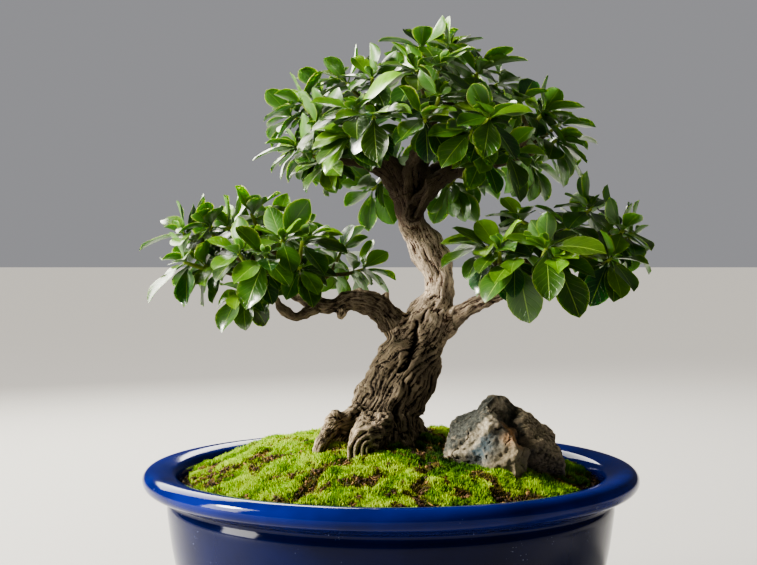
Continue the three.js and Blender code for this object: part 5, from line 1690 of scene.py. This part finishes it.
def moss_shoots(mat, height, area, ground, name, random):
    """Upright shoots on a moss patch and over its seams, as copies of one pointed cone."""
    cone, faces = primitive_parts(
        bpy.ops.mesh.primitive_cone_add, vertices=3, radius1=1, radius2=0, depth=1,
        location=(0, 0, 0.5),
    )
    places, ups = scattered(mat, area, random)
    closing = over_seams(ground, name, area, random)
    places = np.vstack([places, closing])
    ups = np.vstack([ups, np.tile((0, 0, 1.0), (len(closing), 1))])
    dry = dryness(places, ground[0])
    kept = random.random(len(places)) > SHOOTS["thinned"] * dry
    places, ups, dry = places[kept], ups[kept], dry[kept]
    count = len(places)
    lean = random.normal(0, SHOOTS["lean"], (count, 3))
    axes = unit(ups * SHOOTS["upright"] + (0, 0, SHOOTS["upright"]) + lean)
    first, second = raised_along(axes, random)
    clump = ranged(SHOOTS["clumped"], noise_at(places, SHOOTS["clump"]) + 0.5)
    tall = height / MM * ranged(SHOOTS["tall"], random.random(count)) * clump
    tall = tall * (1 - SHOOTS["dried"] * dry)
    wide = SHOOTS["radius"] * ranged(SHOOTS["wide"], random.random(count))
    roots = places - axes * SHOOTS["sunk"]
    shape = cone[None] * np.stack([wide, wide, tall], axis=1)[:, None]
    points = roots[:, None] + shape @ np.stack([first, second, axes], axis=1)
    shoots = copies_from("shoots", points, faces)
    tips = np.tile(cone[:, 2] > 0.5, count)
    # The shoots' roots are darker: partly older moss, partly painted shade.
    set_attribute(shoots, "tip", np.where(tips, 1.0, SHOOTS["root"]))
    set_attribute(shoots, "dry", dry)
    set_attribute(shoots, "tone", random.random(count))
    return shoots


def leaf_pattern():
    """A leaf as a closed shell from a sphere: shares along and across, side, and faces."""
    sphere, faces = primitive_parts(
        bpy.ops.mesh.primitive_uv_sphere_add, segments=8, ring_count=len(LEAF_RINGS) - 1, radius=1,
    )
    rings = np.round(np.arccos(np.clip(-sphere[:, 2], -1, 1)) / np.pi * (len(LEAF_RINGS) - 1)).astype(int)
    around = np.hypot(sphere[:, 0], sphere[:, 1])
    pole = around < 1e-4
    across = np.where(pole, 0, sphere[:, 0] / np.maximum(around, 1e-4))
    side = np.where(pole, 0, np.round(sphere[:, 1] / np.maximum(around, 1e-4), 3))
    return np.array(LEAF_RINGS)[rings], np.round(across, 3), side, faces


def spray_leaves(name, rows, youths, pattern, thickness, random):
    """The leaves of a spray as one mesh, each bent, waved and toned a little differently."""
    share, across, side, faces = pattern
    count = len(rows)
    stalk = share < LEAF["petiole"] * LEAF["roundPart"]
    half_thick = np.where(stalk, BLADE_RELIEF["stalk"], thickness / MM / 2) * side
    groove = np.where((np.abs(across) < 0.1) & ~stalk, BLADE_RELIEF["groove"], 0)
    phase = random.random((count, 1)) * 2 * np.pi
    wave = BLADE_RELIEF["wave"] * np.sin(share * BLADE_RELIEF["waves"] + phase) * np.abs(across)
    twist = BLADE_RELIEF["twist"] * np.sin(share * BLADE_RELIEF["twists"] + 2 * phase) * across
    cup = BLADE_RELIEF["cup"] * random.random((count, 1)) * across**2 * share
    lift = half_thick + groove + np.where(stalk, 0, wave + twist + cup)
    points = place_on_leaf(rows[:, None], share[None], across[None], lift, BLADE)
    leaves = copies_from(name, points, faces)
    set_attribute(leaves, "under", np.tile(side < 0, count))
    set_attribute(leaves, "youth", youths)
    set_attribute(leaves, "tone", random.random(count))
    corners = np.zeros(len(leaves.data.loops), int)
    leaves.data.loops.foreach_get("vertex_index", corners)
    flat = np.tile(np.column_stack([across / 2 + 0.5, share]), (count, 1))[corners]
    leaves.data.uv_layers.new(name="UVMap").data.foreach_set("uv", flat.ravel())
    return leaves


def spray_twigs(plan):
    """The twigs of a spray, from inside its seat to each bud, and green towards the buds."""
    base = np.array(plan["twig"][0][:3]) - plan["heading"] * TWIG_ROOT
    limbs = [[(*base, TWIG["seat"]), *plan["twig"][1:]]]
    limbs += [bud["shoot"] for bud in plan["buds"]]
    twigs = tubes("twigs", limbs, STEPS_PER_MM["twigs"])
    ends = np.array([bud["end"] for bud in plan["buds"]])
    apart = np.linalg.norm(corners_of(twigs)[:, None] - ends, axis=2).min(axis=1)
    set_attribute(twigs, "youth", smoothstep(-apart, *TWIG_GREEN))
    twigs.data.materials.clear()
    return twigs


def crumbs_at(name, places, sizes, random):
    """Small angular crumbs, as copies of one faceted ball."""
    ball, faces = primitive_parts(bpy.ops.mesh.primitive_ico_sphere_add, subdivisions=1, radius=1)
    count = len(places)
    stretch = ranged(CRUMBS["shape"], random.random((count, 1, 3))) * sizes[:, None, None]
    stalks = random.random(count) < CRUMBS["stalks"]
    stretch[stalks] *= CRUMBS["stalk"]
    directions = unit(random.normal(size=(count, 3)) * CRUMBS["lying"])
    first, second = raised_along(directions, random)
    points = places[:, None] + (ball[None] * stretch) @ np.stack([first, second, directions], axis=1)
    crumbs = copies_from(name, points, faces)
    set_attribute(crumbs, "tone", random.random(count))
    return crumbs


# ---------------------------------------------------------------- lights, backdrop and camera


def aimed_light(kind, name, place, target, power, code):
    """A light of this kind at a place, in metres, turned to its target."""
    light = added(bpy.ops.object.light_add, type=kind, location=place)
    light.name = name
    light.data.energy = power
    light.data.color = linear(code)
    light.rotation_euler = (Vector(target) - Vector(place)).to_track_quat("-Z", "Y").to_euler()
    return light


def add_lights():
    for name, place, size, power, code, mirrored in LIGHTS:
        light = aimed_light("AREA", name, place, LIT_PLACE, power, code)
        light.data.shape = "RECTANGLE"
        light.data.size, light.data.size_y = size
        light.visible_glossy = mirrored
        light.visible_camera = False
    key = aimed_light(
        "SUN", "key_light", KEY_LIGHT["from"], (0, 0, 0), KEY_LIGHT["strength"], KEY_LIGHT["colour"],
    )
    key.data.angle = math.radians(KEY_LIGHT["width"])


def grey_backdrop():
    """A grey world that the camera sees brighter than the light it gives."""
    world = bpy.data.worlds.new("studio")
    world.use_nodes = True
    world.node_tree.nodes.clear()
    node = partial(add_node, world.node_tree)
    fill, backdrop = (
        node("Background", {"Color": STUDIO["grey"], "Strength": STUDIO[part]})
        for part in ("fill", "backdrop")
    )
    seen = node("LightPath", output="Is Camera Ray")
    node("OutputWorld", {"Surface": node("MixShader", {0: seen, 1: fill, 2: backdrop})})
    return world


def add_camera():
    """The camera at the photograph's place."""
    camera = added(bpy.ops.object.camera_add, location=[value * MM for value in CAMERA["place"]])
    camera.rotation_euler = (math.radians(90 - CAMERA["down"]), 0, 0)
    camera.data.lens = CAMERA["lens"]
    camera.data.sensor_fit = "HORIZONTAL"
    camera.data.sensor_width = CAMERA["sensor"]
    camera.data.clip_start, camera.data.clip_end = CAMERA["clip"]
    return camera


# ---------------------------------------------------------------- operators, one for each piece


class BONSAI_OT_pot(bpy.types.Operator):
    """Turns the pot from its outline, cuts the notches in its foot and glazes it"""

    bl_idname = "bonsai.pot"
    bl_label = "Glazed pot"

    def execute(self, context):
        settings = context.scene.bonsai_pot
        outline = np.array(rounded(POT_PROFILE))
        outline[:, 0] *= settings.rim_radius / (RIM_RADIUS * MM)
        points = np.column_stack([outline[:, 0], np.zeros(len(outline)), outline[:, 1]])
        edges = [(i, (i + 1) % len(points)) for i in range(len(points))]
        pot = mesh_from("glazed_pot", points, edges)
        in_edit_mode(
            pot, merge_corners,
            lambda: bpy.ops.mesh.spin(steps=POT_STEPS, angle=2 * math.pi, center=(0, 0, 0), axis=(0, 0, 1)),
            merge_corners, face_outwards,
        )
        for turn in range(NOTCH["count"]):
            angle = turn * 2 * math.pi / NOTCH["count"] + math.pi / 2
            cutter = added(
                bpy.ops.mesh.primitive_cube_add, size=MM, rotation=(0, 0, angle),
                location=(FOOT_RADIUS * MM * math.cos(angle), FOOT_RADIUS * MM * math.sin(angle), 0),
                scale=(NOTCH["length"], NOTCH["width"], 2 * NOTCH["height"]),
            )
            apply_modifier(pot, "BOOLEAN", operation="DIFFERENCE", object=cutter)
            bpy.data.objects.remove(cutter)
        in_edit_mode(pot, merge_corners, face_outwards)
        smooth_shaded(pot, degrees=40)
        pot.data.materials.append(material(cobalt_glaze, settings))
        finished(pot, ["pot"])
        return {"FINISHED"}


class BONSAI_OT_screen(bpy.types.Operator):
    """Gives the mesh screen over the drain hole its moulded plastic"""

    bl_idname = "bonsai.screen"
    bl_label = "Drain screen"

    def execute(self, context):
        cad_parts["drain_screen"].material_slots[0].material = material(moulded_mesh)
        return {"FINISHED"}


class BONSAI_OT_soil(bpy.types.Operator):
    """Gives the soil its grain, and strews crumbs along the rim and between the moss patches"""

    bl_idname = "bonsai.soil"
    bl_label = "Soil and crumbs"

    def execute(self, context):
        settings = context.scene.bonsai_ground
        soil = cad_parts["soil"]
        soil.material_slots[0].material = material(potting_soil, settings)
        random = np.random.default_rng(CRUMBS["seed"])
        bare, mossy, _ = survey_ground()
        littered = mossy[random.random(len(mossy)) < LITTER["share"] * dryness(mossy, bare)]
        places = np.vstack([bare + (0, 0, LITTER["bareLift"]), littered + (0, 0, LITTER["lift"])])
        sizes = CRUMBS["smallest"] + CRUMBS["spread"] * random.random(len(places)) ** 2
        crumbs = crumbs_at("soil_crumbs", places, sizes, random)
        crumbs.data.materials.append(material(loose_crumbs, settings))
        finished(crumbs)
        return {"FINISHED"}


class BONSAI_OT_moss(bpy.types.Operator):
    """Grows a velvet of shoots on each moss patch"""

    bl_idname = "bonsai.moss"
    bl_label = "Moss"

    def execute(self, context):
        settings = context.scene.bonsai_ground
        moss = material(cushion_moss, settings)
        area = settings.shoot_area * 1
        ground = survey_ground()
        for name in sorted(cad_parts):
            if not name.startswith("moss_"):
                continue
            random = np.random.default_rng(SHOOTS["seed"] + int(name[-1]))
            mat = moss_mat(name, ground[0])
            shoots = moss_shoots(mat, settings.shoot_height, area, ground, name, random)
            mat.data.materials.append(moss)
            shoots.data.materials.append(moss)
            joined(mat, shoots)
            finished(mat, [name])
        return {"FINISHED"}


class BONSAI_OT_rock(bpy.types.Operator):
    """Breaks the rock's faces rough and colours its stone"""

    bl_idname = "bonsai.rock"
    bl_label = "Rock"

    def execute(self, context):
        rock = merged_copy("broken_rock", "rock")
        remesh(rock, ROCK_VOXEL, smoothings=2)
        chisel(rock)
        smooth_shaded(rock, degrees=35)
        rock.data.materials.append(material(broken_limestone, context.scene.bonsai_ground))
        finished(rock, ["rock"])
        return {"FINISHED"}


class BONSAI_OT_trunk(bpy.types.Operator):
    """Grows the trunk, branches, roots and stubs as one piece of wood and furrows its bark"""

    bl_idname = "bonsai.trunk"
    bl_label = "Trunk and branches"

    def execute(self, context):
        settings = context.scene.bonsai_tree
        drawn = {**LIMBS, **DRAWN_LIMBS}
        grown = [*drawn.values(), *ROOTS, *ROOTLETS, *KNUCKLES, *KNOTS]
        limbs = grown + [stub_places(spray) for spray in SPRAYS]
        wood = tubes("tree_wood", limbs, STEPS_PER_MM["wood"])
        remesh(wood, WOOD_VOXEL, smoothings=3)
        fill_crotches(wood, CROTCH_ROUNDS)
        furrow(wood, limbs, settings.ridge_depth)
        smooth_shaded(wood)
        wood.data.materials.append(material(furrowed_bark, settings))
        finished(wood, ["trunk"])
        return {"FINISHED"}


class BONSAI_OT_sprays(bpy.types.Operator):
    """Grows the leafy sprays: green twigs with a rosette of leaves round each bud"""

    bl_idname = "bonsai.sprays"
    bl_label = "Leafy sprays"

    def execute(self, context):
        settings = context.scene.bonsai_tree
        plans = [spray_plan(spray) for spray in SPRAYS]
        foliage = grow_leaves(plans, settings.extra_leaves)
        pattern = leaf_pattern()
        blade, bark = material(waxy_leaf, settings), material(green_twig)
        names = np.array([name for name, _ in foliage.grown])
        youths = np.array([youth for _, youth in foliage.grown])
        for number, plan in enumerate(plans):
            random = np.random.default_rng(LEAF_SEED + number)
            own = names == plan["name"]
            leaves = spray_leaves(
                "leaves_" + plan["name"], foliage.rows[own], youths[own], pattern,
                settings.leaf_thickness, random,
            )
            leaves.data.materials.append(blade)
            twigs = spray_twigs(plan)
            twigs.data.materials.append(bark)
            joined(leaves, twigs)
            smooth_shaded(leaves, degrees=60)
            finished(leaves, ["spray_" + plan["name"]])
        return {"FINISHED"}


class BONSAI_OT_stage(bpy.types.Operator):
    """Sets the pale floor, the soft lights and the camera"""

    bl_idname = "bonsai.stage"
    bl_label = "Stage"

    def execute(self, context):
        floor = added(bpy.ops.mesh.primitive_plane_add, size=STUDIO["size"])
        floor.name = "studio_floor"
        floor.data.materials.append(material(pale_floor))
        add_lights()
        context.scene.world = grey_backdrop()
        context.scene.view_settings.look = CONTRAST
        context.scene.camera = add_camera()
        return {"FINISHED"}


PIECES = [
    BONSAI_OT_pot, BONSAI_OT_screen, BONSAI_OT_soil, BONSAI_OT_moss, BONSAI_OT_rock,
    BONSAI_OT_trunk, BONSAI_OT_sprays, BONSAI_OT_stage,
]
SETTINGS = {
    "bonsai_pot": BonsaiPotSettings,
    "bonsai_ground": BonsaiGroundSettings,
    "bonsai_tree": BonsaiTreeSettings,
}


class BONSAI_PT_panel(bpy.types.Panel):
    """Lists the sizes and colours and the pieces of the bonsai"""

    bl_idname = "BONSAI_PT_panel"
    bl_label = "Bonsai tree in a pot"
    bl_space_type = "VIEW_3D"
    bl_region_type = "UI"
    bl_category = "Bonsai"

    def draw(self, context):
        for name, group in SETTINGS.items():
            box = self.layout.box()
            for setting in group.__annotations__:
                box.prop(getattr(context.scene, name), setting)
        for piece in PIECES:
            self.layout.operator(piece.bl_idname)


def register():
    for made in [*SETTINGS.values(), *PIECES, BONSAI_PT_panel]:
        bpy.utils.register_class(made)
    for name, group in SETTINGS.items():
        setattr(bpy.types.Scene, name, PointerProperty(type=group))


def unregister():
    for name in SETTINGS:
        delattr(bpy.types.Scene, name)
    for made in reversed([*SETTINGS.values(), *PIECES, BONSAI_PT_panel]):
        bpy.utils.unregister_class(made)


def main():
    register()
    for piece in PIECES:
        group, name = piece.bl_idname.split(".")
        getattr(getattr(bpy.ops, group), name)()


if __name__ == "__main__":
    main()
